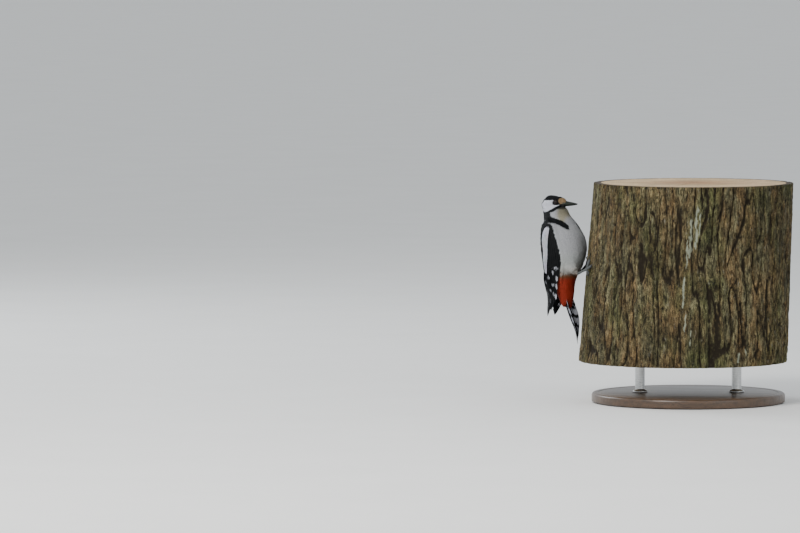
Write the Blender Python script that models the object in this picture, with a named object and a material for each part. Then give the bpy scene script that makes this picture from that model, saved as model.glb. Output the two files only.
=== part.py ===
"""A life-size great spotted woodpecker, clinging upright to a short cut length of trunk.

The bird is solid and still, parted where its parts have names, and the trunk stands on a plain
display stand. Lengths below are millimetres, and MM turns them into Blender's metres. The frame has
+Z up with its origin under the middle of the stand. The bird clings to the trunk's -X side, and the
view from -Y shows its right flank and breast.
"""

import math

import bmesh
import bpy
import numpy as np
from mathutils import Vector

MM = 0.001
GAP = 0.35  # clearance between pieces that meet

# ---- The stand: a turned base and two rods under the trunk
BASE_RADIUS = 140.0
BASE_THICKNESS = 14.0
BASE_EDGE = 4.0
ROD_RADIUS = 7.0
ROD_LENGTH = 45.0
ROD_SPREAD = 70.0  # from the stand's middle to each rod

# ---- The trunk, whose bark crests lie on a leaning, tapering cylinder
TRUNK_RADIUS = 148.0  # where the feet grip
TRUNK_TAPER = 0.026  # of radius for each millimetre of height
TRUNK_LEAN = 0.057  # of the axis towards +X, for each millimetre of height
TRUNK_LENGTH = 258.0
TRUNK_SIDES = 72
TRUNK_LEVELS = 7
BARK_DEPTH = 4.5  # of the deepest furrow
BARK_RIDGES = 17  # long plates of bark round the trunk
BARK_PLATES = 7  # broader swells round it, which climb it slowly
BARK_CLIMB = 0.045  # of a swell's turn, for each millimetre of height
BARK_GRIP = 26.0  # degrees to each side of the bird where the bark lies at its crest

# ---- Heights of the bird, measured from the tip of its tail
TAIL_TIP_HEIGHT = 22.0  # above the trunk's lower cut
TRUNK_FOOT = BASE_THICKNESS + ROD_LENGTH + 2 * GAP
BIRD_FLOOR = TRUNK_FOOT + TAIL_TIP_HEIGHT
GRIP_HEIGHT = 113.0
NECK_LOW = 179.0  # where the neck leaves the trunk of the body

# The line through the body: height, place, and the turn of the belly from +X towards -Y in degrees.
AXIS = np.array([
    (36.0, -178.0, 16.0, 27.0),
    (65.0, -178.4, 16.0, 28.0),
    (94.0, -182.0, 18.0, 30.0),
    (123.0, -179.6, 19.5, 36.0),
    (138.0, -179.4, 20.5, 40.0),
    (152.0, -180.8, 22.5, 43.0),
    (167.0, -183.6, 25.0, 45.0),
    (178.0, -186.2, 27.3, 44.0),
    (187.0, -190.0, 29.0, 40.0),
    (196.0, -194.3, 30.5, 34.0),
    (205.0, -196.9, 31.0, 30.0),
])
# The plumage's girth: height, half width, and depth towards the belly and towards the back.
GIRTH = np.array([
    (54.0, 4.5, 6.0, 3.0),
    (58.0, 8.0, 9.0, 5.6),
    (66.0, 12.6, 12.0, 9.8),
    (80.0, 18.0, 15.2, 15.8),
    (94.0, 21.5, 19.0, 20.0),
    (109.0, 25.5, 25.0, 23.5),
    (123.0, 28.0, 31.0, 28.0),
    (138.0, 29.0, 34.0, 31.5),
    (152.0, 28.5, 33.0, 31.0),
    (167.0, 26.0, 28.5, 27.5),
    (178.0, 23.0, 24.0, 23.5),
    (187.0, 19.0, 20.0, 20.0),
    (196.0, 14.5, 17.0, 17.0),
    (205.0, 10.0, 12.0, 13.0),
])
BODY_SIDES = 24
BODY_LEVELS = 19
NECK_LEVELS = 6

# ---- The head, along the line of the bill: distance ahead of its middle, then top, bottom and half width
HEAD_MIDDLE = np.array([-196.9, 31.0, 205.0])
HEAD_TURN = 30.0
HEAD_SIDES = 22
HEAD_RINGS = 15
HEAD = np.array([
    (-17.2, 1.5, 2.0, 1.8),
    (-15.5, 5.6, 6.0, 6.0),
    (-11.0, 9.6, 10.2, 10.2),
    (-5.0, 12.0, 12.0, 12.4),
    (1.0, 12.4, 11.6, 12.6),
    (7.0, 11.6, 9.8, 11.0),
    (12.0, 10.2, 8.2, 8.9),
    (17.0, 8.6, 6.6, 6.6),
    (21.5, 6.6, 5.4, 5.4),
    (25.0, 4.4, 4.2, 4.4),
])
BILL_LINE = -0.9  # height of the bill's parting line from the head's middle
BILL_START = 12.0
BILL_TIP = 42.6
BILL_SOCKET = -0.08  # share of its length that the seat in the head goes behind its start
BILL_RINGS = 9
BILL_ARC = 12  # steps across each half
BILL_UPPER = np.array([  # share of the bill's length, height above its parting line, half width
    (0.0, 4.6, 5.0),
    (0.3, 4.2, 4.3),
    (0.6, 3.0, 2.9),
    (0.85, 1.7, 1.5),
    (1.0, 0.7, 0.7),
])
BILL_LOWER = np.array([
    (0.0, 3.6, 4.7),
    (0.3, 3.3, 4.0),
    (0.6, 2.4, 2.7),
    (0.85, 1.3, 1.4),
    (0.97, 0.6, 0.7),
])
EYE_RADIUS = 3.4
EYE_PLACE = (9.6, 6.9, 2.0)  # ahead of the head's middle, out to the side, up

# ---- The folded wings, round the body's line: height, front edge and back edge in degrees from the
# belly, how far out the wing lies where the body is slimmer, and its thickness
WING = np.array([
    (182.0, 88.0, 96.0, 20.0, 1.6),
    (178.0, 76.0, 116.0, 22.0, 2.6),
    (170.0, 69.0, 130.0, 24.0, 3.2),
    (156.0, 64.0, 140.0, 25.0, 3.5),
    (138.0, 62.0, 146.0, 25.0, 3.6),
    (120.0, 62.0, 151.0, 24.5, 3.4),
    (104.0, 66.0, 157.0, 23.5, 3.0),
    (88.0, 74.0, 165.0, 22.5, 2.6),
    (74.0, 84.0, 168.0, 22.0, 2.2),
    (62.0, 98.0, 164.0, 22.6, 1.9),
    (50.0, 116.0, 160.0, 23.6, 1.6),
    (41.0, 138.0, 154.0, 24.4, 1.2),
])
TUCK = (90.0, 58.0, 149.0)  # from and to which height the left wing's front edge swings back, and to where
WING_CLEARANCE = 0.8  # over the body's plumage
WING_EDGE = 0.6  # its thickness at the front and back edges
WING_LEVELS = 21
WING_ACROSS = 7

# ---- The tail, a stiff wedge of feathers that props the bird on the bark
TAIL_LINE = np.array([  # share of its length, and the place of its middle
    (0.0, -181.0, 17.5, 84.0),
    (0.27, -174.5, 14.6, 62.0),
    (0.51, -168.0, 11.2, 42.0),
    (0.75, -161.9, 7.6, 22.0),
])
TAIL = np.array([  # share of its length, half width, thickness, arch of the roof it forms, turn
    (0.0, 7.0, 4.6, 2.0, 28.0),
    (0.2, 9.8, 4.2, 4.6, 28.0),
    (0.5, 12.0, 3.4, 6.4, 26.0),
    (0.75, 10.0, 2.6, 2.6, 18.0),
    (0.92, 6.2, 1.9, 1.2, 10.0),
    (1.0, 2.2, 1.2, 0.6, 6.0),
])
TAIL_TIP = (-1.5, 1.5)  # angle round the trunk, and height
TAIL_LEAD = 2.4  # from the bark's crest to the middle of the tail's tip
TAIL_EDGE = 0.35  # half its thickness at the sides
TAIL_LEVELS = 11
TAIL_STEPS = 8  # across its width

# ---- The legs. A foot's place is its angle round the trunk from -X towards -Y, and its height
FEET = {"right": (13.0, 113.0), "left": (-14.5, 114.0)}
HIPS = {"right": (-176.0, 3.0, 116.0), "left": (-173.0, 24.0, 117.0)}
HEELS = {"right": (-161.5, -20.0, 105.5), "left": (-155.5, 28.5, 105.5)}
KNEE_SHARE = 0.55  # of the way from the hip to the heel
KNEE_RISE = 1.5  # of the knee's bend over that line
THIGH_GIRTH = (11.0, 9.5, 6.4, 3.4)
FOOT_LIFT = 3.6  # from the bark's crest to the middle of the foot
TARSUS_GIRTH = (2.1, 1.7, 1.9, 2.2)
# Toes: heading from straight up and round towards the outer side, length, girth, claw's length
TOES = {
    "inner": (-24.0, 11.0, 1.45, 6.0),
    "middle": (12.0, 14.5, 1.6, 7.5),
    "outer": (68.0, 15.0, 1.6, 7.5),
    "hind": (158.0, 8.0, 1.3, 5.0),
}
TOE_ROOT = 1.1  # how far each toe starts behind the foot's middle
TOE_TIP = 0.8  # of a toe's girth, at its end
TOE_BEND = 0.5  # how far its first joint rises over a straight line
REST_GAP = 0.6  # from a toe's underside to the bark's crest
CLAW_GIRTH = 0.95
CLAW_START = 0.8  # beyond the toe's end
CLAW_CURVE = ((0.0, 0.4), (0.28, 1.6), (0.6, 1.0), (0.8, -0.9))  # share of its length, and rise


def smooth(table, at):
    """The columns of a table at some value of its first column, on a curve through its rows."""
    at = np.atleast_1d(np.asarray(at, float))
    x, y = table[:, 0], table[:, 1:]
    if x[0] > x[-1]:
        x, y = x[::-1], y[::-1]
    slope = np.gradient(y, x, axis=0)
    i = np.clip(np.searchsorted(x, at) - 1, 0, len(x) - 2)
    step = (x[i + 1] - x[i])[:, None]
    t = np.clip((at[:, None] - x[i][:, None]) / step, 0.0, 1.0)
    ease, lead, trail = t * t * (3 - 2 * t), t * (1 - t) ** 2, t * t * (t - 1)
    return y[i] * (1 - ease) + y[i + 1] * ease + step * (lead * slope[i] + trail * slope[i + 1])


def forward(turn):
    """The direction of a belly or bill that is turned so many degrees from +X towards -Y."""
    return np.array([math.cos(math.radians(turn)), -math.sin(math.radians(turn)), 0.0])


def rightward(turn):
    """The direction to the bird's right at that turn."""
    return np.array([-math.sin(math.radians(turn)), -math.cos(math.radians(turn)), 0.0])


def material(name, colour, roughness, metallic=0.0):
    finish = bpy.data.materials.get(name)
    if finish is None:
        finish = bpy.data.materials.new(name)
        finish.use_nodes = True
        shader = finish.node_tree.nodes["Principled BSDF"]
        shader.inputs["Base Color"].default_value = (*colour, 1.0)
        shader.inputs["Roughness"].default_value = roughness
        shader.inputs["Metallic"].default_value = metallic
    return finish


def black_plumage():
    return material("black_plumage", (0.012, 0.013, 0.017), 0.45)


def white_plumage():
    return material("white_plumage", (0.62, 0.59, 0.54), 0.85)


def bill_horn():
    return material("bill_horn", (0.10, 0.11, 0.12), 0.35)


def foot_skin():
    return material("foot_skin", (0.17, 0.18, 0.17), 0.6)


def claw_horn():
    return material("claw_horn", (0.05, 0.05, 0.05), 0.35)


def tube(name, rings, finish):
    """A closed solid through rings of points in millimetres, each ring as long as the others."""
    mesh = bpy.data.meshes.new(name)
    bm = bmesh.new()
    rows = [[bm.verts.new(Vector(p) * MM) for p in ring] for ring in rings]
    count = len(rows[0])
    for low, high in zip(rows, rows[1:]):
        for i in range(count):
            j = (i + 1) % count
            bm.faces.new((low[i], low[j], high[j], high[i]))
    for row in (rows[0], rows[-1]):
        middle = bm.verts.new(sum((v.co for v in row), Vector()) / count)
        for i in range(count):
            bm.faces.new((row[i], row[(i + 1) % count], middle))
    bmesh.ops.recalc_face_normals(bm, faces=bm.faces)
    bm.to_mesh(mesh)
    bm.free()
    mesh.shade_smooth()
    obj = bpy.data.objects.new(name, mesh)
    bpy.context.scene.collection.objects.link(obj)
    mesh.materials.append(finish)
    return obj


def combine(obj, other, operation):
    """Joins another solid to obj, or cuts it away, and removes the other."""
    modifier = obj.modifiers.new(operation.lower(), "BOOLEAN")
    modifier.operation = operation
    modifier.solver = "EXACT"
    modifier.object = other
    with bpy.context.temp_override(object=obj, active_object=obj, selected_objects=[obj]):
        bpy.ops.object.modifier_apply(modifier=modifier.name)
    bpy.data.objects.remove(other)
    return obj


def cut(obj, *others):
    for other in others:
        combine(obj, other, "DIFFERENCE")
    return obj


# ---- The trunk of the tree and the stand


def trunk_axis(height):
    """The middle of the tree's trunk and its crest radius, at a height above the tail's tip."""
    rise = height - GRIP_HEIGHT
    return TRUNK_LEAN * rise, TRUNK_RADIUS - TRUNK_TAPER * rise


def bark_point(angle, height, lift=0.0):
    """A point over the bark's crest: its angle from -X towards -Y in degrees, and its height."""
    middle, radius = trunk_axis(height)
    a = math.radians(angle)
    reach = radius + lift
    return np.array([middle - reach * math.cos(a), -reach * math.sin(a), height])


def furrow(angle, height):
    """How deep the bark lies under its crest, none where the feet and tail take hold."""
    a = math.radians(angle)
    wander = math.sin(BARK_CLIMB * height / 2 + 2 * a) + math.sin(3 * a)
    ridge = (1 + math.cos(BARK_RIDGES * a + wander)) / 2
    swell = (1 + math.cos(BARK_PLATES * a - BARK_CLIMB * height)) / 2
    grip = math.exp(-((angle / BARK_GRIP) ** 4))
    return BARK_DEPTH * (0.75 * ridge**2 + 0.25 * swell) * (1.0 - grip)


def make_trunk():
    low = -TAIL_TIP_HEIGHT
    rings = []
    for height in np.linspace(low, low + TRUNK_LENGTH, TRUNK_LEVELS):
        ring = []
        for i in range(TRUNK_SIDES):
            angle = (i / TRUNK_SIDES * 360.0 + 180.0) % 360.0 - 180.0
            ring.append(raised(bark_point(angle, height, -furrow(angle, height))))
        rings.append(ring)
    return tube("perch_trunk", rings, material("bark", (0.09, 0.06, 0.035), 0.95))


def raised(point):
    """A point of the bird or trunk, moved up to where the stand holds it."""
    return np.array([point[0], point[1], point[2] + BIRD_FLOOR])


def disc(name, radius, low, high, edge, sides, finish, place=(0.0, 0.0)):
    bpy.ops.mesh.primitive_cylinder_add(
        vertices=sides,
        radius=radius * MM,
        depth=(high - low) * MM,
        location=(place[0] * MM, place[1] * MM, (low + high) / 2 * MM),
    )
    obj = bpy.context.object
    obj.name = obj.data.name = name
    obj.data.materials.append(finish)
    if edge:
        bevel = obj.modifiers.new("edge", "BEVEL")
        bevel.width = edge * MM
        bevel.segments = 2
        bevel.limit_method = "ANGLE"
    obj.data.shade_smooth()
    obj.data.set_sharp_from_angle(angle=math.radians(40))
    return obj


def make_stand():
    oak = material("stand_wood", (0.05, 0.028, 0.016), 0.4)
    steel = material("stand_steel", (0.55, 0.56, 0.58), 0.3, 1.0)
    disc("stand_base", BASE_RADIUS, 0.0, BASE_THICKNESS, BASE_EDGE, 48, oak)
    low = BASE_THICKNESS + GAP
    for name, x in (("stand_rod_left", -ROD_SPREAD), ("stand_rod_right", ROD_SPREAD)):
        disc(name, ROD_RADIUS, low, low + ROD_LENGTH, 0.0, 24, steel, (x, 0.0))


# ---- The body


def girth_radius(height, angle):
    """How far the plumage reaches from the body's line, at an angle from the belly in degrees."""
    wide, front, back = smooth(GIRTH, height)[0]
    a = math.radians(angle)
    depth = front if math.cos(a) > 0 else back
    return 1.0 / math.hypot(math.cos(a) / depth, math.sin(a) / wide)


def round_body(height, angle, radius):
    """The point that far from the body's line; angles run from the belly towards the right side."""
    x, y, turn = smooth(AXIS, height)[0]
    a = math.radians(angle)
    out = forward(turn) * math.cos(a) + rightward(turn) * math.sin(a)
    return np.array([x, y, height]) + out * radius


def body_solid(name, low, high, levels, grow=0.0, finish=None):
    rings = []
    for height in np.linspace(low, high, levels):
        ring = []
        for i in range(BODY_SIDES):
            angle = i / BODY_SIDES * 360.0
            radius = girth_radius(height, angle) + grow
            ring.append(raised(round_body(height, angle, radius)))
        rings.append(ring)
    return tube(name, rings, finish or white_plumage())


# ---- The head, bill and eyes


def head_place(ahead, side, up):
    """A point of the head: ahead along the bill, out to the bird's right, and up."""
    place = HEAD_MIDDLE + forward(HEAD_TURN) * ahead + rightward(HEAD_TURN) * side
    return raised(place + np.array([0.0, 0.0, up]))


def oval(ahead, top, bottom, wide, middle, sides, grow=0.0):
    """A ring across the bill's line, with its own height above and below the middle."""
    ring = []
    for i in range(sides):
        a = i / sides * math.tau
        up = math.cos(a) * ((top if math.cos(a) > 0 else bottom) + grow)
        ring.append(head_place(ahead, math.sin(a) * (wide + grow), middle + up))
    return ring


def head_solid(name, grow=0.0):
    rings = []
    for ahead in np.linspace(HEAD[0, 0], HEAD[-1, 0], HEAD_RINGS):
        top, bottom, wide = smooth(HEAD, ahead)[0]
        rings.append(oval(ahead, top, bottom, wide, 0.0, HEAD_SIDES, grow))
    return tube(name, rings, black_plumage())


def mandible(name, rows, side):
    """Half of the bill: side is 1 for the upper mandible and -1 for the lower one."""
    rings = []
    for share in np.linspace(rows[0, 0], rows[-1, 0], BILL_RINGS):
        tall, wide = smooth(rows, share)[0]
        ahead = BILL_START + share * (BILL_TIP - BILL_START)
        ring = []
        for i in range(BILL_ARC + 1):
            a = math.pi * (i / BILL_ARC - 0.5)
            up = tall * max(0.0, math.cos(a)) ** 0.85 if 0 < i < BILL_ARC else 0.0
            across = wide * math.sin(a)
            ring.append(head_place(ahead, across, BILL_LINE + side * (GAP / 2 + up)))
        rings.append(ring)
    return tube(name, rings, bill_horn())


def bill_cutter():
    """The whole bill, a gap larger, for seating it in the head."""
    rings = []
    for share in np.linspace(BILL_SOCKET, 0.9, BILL_RINGS):
        tall, wide = smooth(BILL_UPPER, share)[0]
        deep = smooth(BILL_LOWER, share)[0][0]
        ahead = BILL_START + share * (BILL_TIP - BILL_START)
        rings.append(oval(ahead, tall + GAP, deep + GAP, wide + GAP, BILL_LINE, 14, GAP))
    return tube("bill_cutter", rings, bill_horn())


def eye(name, side, grow=0.0):
    ahead, out, up = EYE_PLACE
    place = head_place(ahead, side * out, up) * MM
    bpy.ops.mesh.primitive_uv_sphere_add(
        segments=14, ring_count=8, radius=(EYE_RADIUS + grow) * MM, location=place
    )
    obj = bpy.context.object
    obj.name = obj.data.name = name
    obj.data.materials.append(material("eye_glass", (0.02, 0.006, 0.005), 0.05))
    obj.data.shade_smooth()
    return obj


def make_head():
    head = head_solid("head")
    cut(head, bill_cutter(), eye("eye_cutter_right", 1, GAP), eye("eye_cutter_left", -1, GAP))
    mandible("bill_upper", BILL_UPPER, 1)
    mandible("bill_lower", BILL_LOWER, -1)
    eye("eye_right", 1)
    eye("eye_left", -1)


# ---- Wings and tail


def wing_row(side, height):
    """A wing's front and back edge in degrees, least radius and thickness, at a height."""
    front, back, least, thick = smooth(WING, height)[0]
    if side < 0:
        high, low, edge = TUCK
        swing = min(max((high - height) / (high - low), 0.0), 1.0)
        front += max(0.0, edge - front) * swing * swing * (3 - 2 * swing)
    return front, back, least, thick


def wing_solid(name, side):
    """A folded wing: a shell over the side of the body, closed round its edges."""
    top, tip = WING[0, 0], WING[-1, 0]
    rings = []
    for height in np.linspace(top, tip, WING_LEVELS):
        front, back, least, thick = wing_row(side, height)
        outer, inner = [], []
        for i in range(WING_ACROSS):
            share = i / (WING_ACROSS - 1)
            angle = front + (back - front) * share
            under = max(girth_radius(height, angle), least) + WING_CLEARANCE
            rounding = math.sqrt(max(0.0, 1.0 - (2 * share - 1) ** 4))
            over = under + WING_EDGE + (thick - WING_EDGE) * rounding
            outer.append(raised(round_body(height, side * angle, over)))
            inner.append(raised(round_body(height, side * angle, under)))
        rings.append(outer + inner[::-1])
    return tube(name, rings, black_plumage())


def tail_frame(share, turn):
    """A place on the tail's middle, and the directions there across it and out of its back."""
    knots = np.vstack([TAIL_LINE, (1.0, *bark_point(*TAIL_TIP, TAIL_LEAD))])
    before, middle, after = smooth(knots, [share - 0.02, share, share + 0.02])
    line = (after - before) / np.linalg.norm(after - before)
    across = rightward(turn)
    across = across - line * (across @ line)
    across /= np.linalg.norm(across)
    return middle, across, np.cross(line, across)


def tail_solid(name, grow=0.0):
    rings = []
    for share in np.linspace(0.0, 1.0, TAIL_LEVELS):
        wide, thick, arch, turn = smooth(TAIL, share)[0]
        middle, across, out = tail_frame(share, turn)
        upper, lower = [], []
        for i in range(TAIL_STEPS + 1):
            side = 2 * i / TAIL_STEPS - 1
            roof = -arch * side * side + arch / 3
            half = TAIL_EDGE + (thick / 2 - TAIL_EDGE) * math.sqrt(1 - side**4) + grow
            at = middle + across * side * (wide + grow)
            upper.append(raised(at + out * (roof + half)))
            lower.append(raised(at + out * (roof - half)))
        rings.append(upper + lower[::-1])
    return tube(name, rings, black_plumage())


# ---- Legs


def limb(name, path, girths, finish, levels=8, sides=8, squeeze=1.0):
    """A round limb on a smooth path through a few points, as thick as girths says along it."""
    knots = np.linspace(0.0, 1.0, len(path))
    line = np.column_stack([knots, np.array(path, float)])
    girth = np.column_stack([np.linspace(0.0, 1.0, len(girths)), np.array(girths, float)])
    shares = np.linspace(0.0, 1.0, levels)
    middles = smooth(line, shares)
    heading = np.gradient(middles, axis=0)
    side = np.cross(heading[0], (0.3, 0.2, 1.0))
    rings = []
    for middle, ahead, share in zip(middles, heading, shares):
        ahead = ahead / np.linalg.norm(ahead)
        side = side - ahead * (side @ ahead)
        side /= np.linalg.norm(side)
        other = np.cross(ahead, side)
        radius = smooth(girth, share)[0][0]
        ring = []
        for i in range(sides):
            a = i / sides * math.tau
            turned = side * math.cos(a) * squeeze + other * math.sin(a)
            ring.append(raised(middle + turned * radius))
        rings.append(ring)
    return tube(name, rings, finish)


def toe_point(side, heading, along, lift):
    """A point over the bark, so far from the foot's middle on a heading."""
    outer = 1 if side == "right" else -1
    a = math.radians(heading)
    angle, height = FEET[side]
    round_trunk = math.degrees(outer * along * math.sin(a) / TRUNK_RADIUS)
    return bark_point(angle + round_trunk, height + along * math.cos(a), lift)


def toe_rest(toe):
    """How high over the bark's crest the middle of a resting toe lies."""
    return TOES[toe][2] * 0.9 + REST_GAP


def toe_path(side, toe):
    heading, length, _, _ = TOES[toe]
    rest = toe_rest(toe)
    lifts = (FOOT_LIFT, (FOOT_LIFT + rest) / 2 + TOE_BEND, rest + TOE_BEND, rest)
    steps = (-TOE_ROOT, length / 3, length * 2 / 3, length)
    return [toe_point(side, heading, along, lift) for along, lift in zip(steps, lifts)]


def claw_path(side, toe):
    """A claw springs up from the toe's end and hooks down to the bark."""
    heading, length, _, claw = TOES[toe]
    start, rest = length + CLAW_START, toe_rest(toe)
    return [toe_point(side, heading, start + claw * along, rest + rise) for along, rise in CLAW_CURVE]


def make_leg(side):
    hub = bark_point(*FEET[side], FOOT_LIFT)
    hip, heel = np.array(HIPS[side]), np.array(HEELS[side])
    foot = limb(f"foot_{side}", [heel, (heel + hub) / 2, hub], TARSUS_GIRTH, foot_skin())
    for toe, (_, _, girth, _) in TOES.items():
        joints = (girth * 1.2, girth, girth, girth * TOE_TIP)
        part = limb(f"toe_{toe}", toe_path(side, toe), joints, foot_skin(), 7, 7)
        combine(foot, part, "UNION")
    for toe in TOES:
        hook = (CLAW_GIRTH, CLAW_GIRTH, CLAW_GIRTH * 0.75, 0.3)
        limb(f"claw_{side}_{toe}", claw_path(side, toe), hook, claw_horn(), 6, 6, 0.8)
    knee = hip + (heel - hip) * KNEE_SHARE + np.array([0.0, 0.0, KNEE_RISE])
    back = (knee - heel) / np.linalg.norm(knee - heel)
    ankle = heel + back * (TARSUS_GIRTH[0] + 2 * GAP)
    thigh = limb(f"thigh_{side}", [hip, knee, ankle], THIGH_GIRTH, white_plumage(), 9, 12)
    cut(thigh, body_solid("body_cutter", GIRTH[0, 0], NECK_LOW, BODY_LEVELS, GAP))


def make_body():
    trunk = body_solid("trunk", GIRTH[0, 0], NECK_LOW, BODY_LEVELS)
    cut(trunk, tail_solid("tail_cutter", GAP))
    neck = body_solid("neck", NECK_LOW + GAP, GIRTH[-1, 0], NECK_LEVELS)
    cut(neck, head_solid("head_cutter", GAP))
    tail_solid("tail")
    wing_solid("wing_right", 1)
    wing_solid("wing_left", -1)


def main():
    for old in list(bpy.data.objects):
        bpy.data.objects.remove(old)
    make_stand()
    make_trunk()
    make_body()
    make_head()
    for side in FEET:
        make_leg(side)


main()
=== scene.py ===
import itertools
import math

import bmesh
import bpy
import numpy as np
from bpy.props import FloatProperty, FloatVectorProperty, PointerProperty
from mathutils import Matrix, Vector, noise
from mathutils.bvhtree import BVHTree


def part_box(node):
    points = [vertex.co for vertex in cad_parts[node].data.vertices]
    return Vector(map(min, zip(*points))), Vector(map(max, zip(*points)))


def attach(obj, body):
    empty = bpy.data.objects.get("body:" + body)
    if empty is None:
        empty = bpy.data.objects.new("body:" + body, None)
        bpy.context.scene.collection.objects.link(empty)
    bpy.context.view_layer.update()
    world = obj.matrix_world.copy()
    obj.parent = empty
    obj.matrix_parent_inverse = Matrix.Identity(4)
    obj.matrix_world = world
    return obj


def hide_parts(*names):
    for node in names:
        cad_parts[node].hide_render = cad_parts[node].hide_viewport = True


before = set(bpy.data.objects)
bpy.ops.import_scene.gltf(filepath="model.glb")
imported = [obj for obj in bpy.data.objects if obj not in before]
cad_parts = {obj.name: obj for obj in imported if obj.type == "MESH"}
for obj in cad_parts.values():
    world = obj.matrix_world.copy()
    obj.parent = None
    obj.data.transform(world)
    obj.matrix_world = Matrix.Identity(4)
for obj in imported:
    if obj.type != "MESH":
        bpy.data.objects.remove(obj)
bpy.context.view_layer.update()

bl_info = {
    "name": "Great Spotted Woodpecker",
    "version": (1, 0, 0),
    "blender": (4, 5, 0),
    "location": "3D View > Sidebar > Woodpecker",
    "description": "Dresses the framed woodpecker, its perch and its stand",
    "category": "Object",
}

MM = 0.001  # the lengths below are millimetres
UP = np.array([0.0, 0.0, 1.0])

# ---- Places on the frame
PERCH_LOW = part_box("perch_trunk")[0][2] / MM
PERCH_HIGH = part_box("perch_trunk")[1][2] / MM
BIRD_FLOOR = PERCH_LOW + 22.0  # the height of the tail's tip, from which the bird's heights count
BASE_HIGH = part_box("stand_base")[1][2] / MM
BASE_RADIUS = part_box("stand_base")[1][0] / MM

# ---- The perch
TRUNK_RADIUS = 148.0  # of the bark's crest, at the height that the feet grip
GRIP_HEIGHT = 113.0
TRUNK_TAPER = 0.026
TRUNK_LEAN = 0.057
BARK_LONG = 120.0  # how far a furrow runs before it ends
BARK_WANDER = 9.0  # how far furrows stray sideways
CRACK_STEP = 0.15  # the step by which a noise's slope is measured
BARK_SWIRLS = (3.7, 11.2, 23.9)  # shifts that set apart the three noises by which furrows stray
BARK_ROUND = 620  # points round the bark
BARK_UP = 150  # and up it
CUT_RINGS = (1.0, 0.985, 0.96, 0.935, 0.9, 0.83, 0.72, 0.6, 0.48, 0.36, 0.24, 0.12, 0.03)
CUT_CRACKS = (0.7, 2.9, 4.4, 5.3)  # where the cut faces have split in drying, in radians
KNOT = (103.6, 91.0)  # angle from -X towards -Y in degrees, and height
RESIN_FROM, RESIN_TO = 80.0, 130.0
RESIN = (  # angle, top, foot and half breadth in degrees of each pale run of dried resin
    (87.4, 196, 128, 1), (90.6, 214, 142, 0.8), (92.3, 206, 158, 0.4), (85.8, 172, 112, 0.5),
    (85.4, 112, 54, 0.6), (87.2, 62, 20, 0.5), (90.5, 40, 2, 0.4), (119, 4, -22, 1), (124, 10, -12, 0.6),
)

# ---- The bird's line: height, place, and the turn of the belly from +X towards -Y
AXIS = np.array([
    (36, -178, 16, 27), (65, -178.4, 16, 28), (94, -182, 18, 30), (123, -179.6, 19.5, 36),
    (138, -179.4, 20.5, 40), (152, -180.8, 22.5, 43), (167, -183.6, 25, 45), (178, -186.2, 27.3, 44),
    (187, -190, 29, 40), (196, -194.3, 30.5, 34), (205, -196.9, 31, 30),
])
# The plumage's girth: height, half width, and depth towards the belly and towards the back
GIRTH = np.array([
    (54, 4.5, 6, 3), (58, 8, 9, 5.6), (66, 12.6, 12, 9.8), (80, 18, 15.2, 15.8), (94, 21.5, 19, 20),
    (109, 25.5, 25, 23.5), (123, 28, 31, 28), (138, 29, 34, 31.5), (152, 28.5, 33, 31),
    (167, 26, 28.5, 27.5), (178, 23, 24, 23.5), (187, 19, 20, 20), (196, 14.5, 17, 17), (205, 10, 12, 13),
])

# ---- The head
HEAD_MIDDLE = np.array([-196.9, 31.0, 205.0])
HEAD_TURN = 30.0

# ---- The folded wings: height, front and back edge in degrees from the belly, least radius, thickness
WING = np.array([
    (182, 88, 96, 20, 1.6), (178, 76, 116, 22, 2.6), (170, 69, 130, 24, 3.2), (156, 64, 140, 25, 3.5),
    (138, 62, 146, 25, 3.6), (120, 62, 151, 24.5, 3.4), (104, 66, 157, 23.5, 3), (88, 74, 165, 22.5, 2.6),
    (74, 84, 168, 22, 2.2), (62, 98, 164, 22.6, 1.9), (50, 116, 160, 23.6, 1.6),
    (41, 138, 154, 24.4, 1.2),
])
TUCK = (90.0, 58.0, 149.0)  # heights between which the left wing's front edge swings back, and how far
WING_CLEARANCE = 0.8  # between the wing and the body
WING_EDGE = 0.6  # thickness at its edges

FLESH = ("trunk", "neck", "head", "thigh_left", "thigh_right")
WELD = 0.00002  # metres within which the flesh's points are one
SKIN_SPARE = 0.45  # how far the flesh swells before it is smoothed
EYE_RADIUS = 3.4
EYE_ROOM = 1.2  # how far round an eyeball nothing else lies
EYE_PLACE = (9.6, 6.9, 2.0)
GAZE = (0.14, 1.0, 0.03)  # ahead, out to the side and up
LID_WIDTH = 0.2  # in radians of the eyeball
LID_ROUND = 56  # points round a lid
LID_SECTION = (  # share of its width, and height over the eyeball
    (0, 0.1), (0, 0.28), (0.15, 0.42), (0.35, 0.45), (0.6, 0.36), (0.85, 0.2), (1.1, -0.1),
)
BILL_LINE = -0.9
BILL_START = 12.0
BILL_TIP = 42.6
BILL_ARC = 23  # points over half of the bill
BILL_UPPER = np.array([  # share of its length, height over the parting line, half width
    (0, 4.6, 5), (0.3, 4.2, 4.3), (0.6, 3, 2.9), (0.85, 1.7, 1.5), (1, 0.7, 0.7),
])
BILL_LOWER = np.array([
    (0, 3.6, 4.7), (0.3, 3.3, 4), (0.6, 2.4, 2.7), (0.85, 1.3, 1.4), (0.97, 0.6, 0.7),
])

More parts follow.
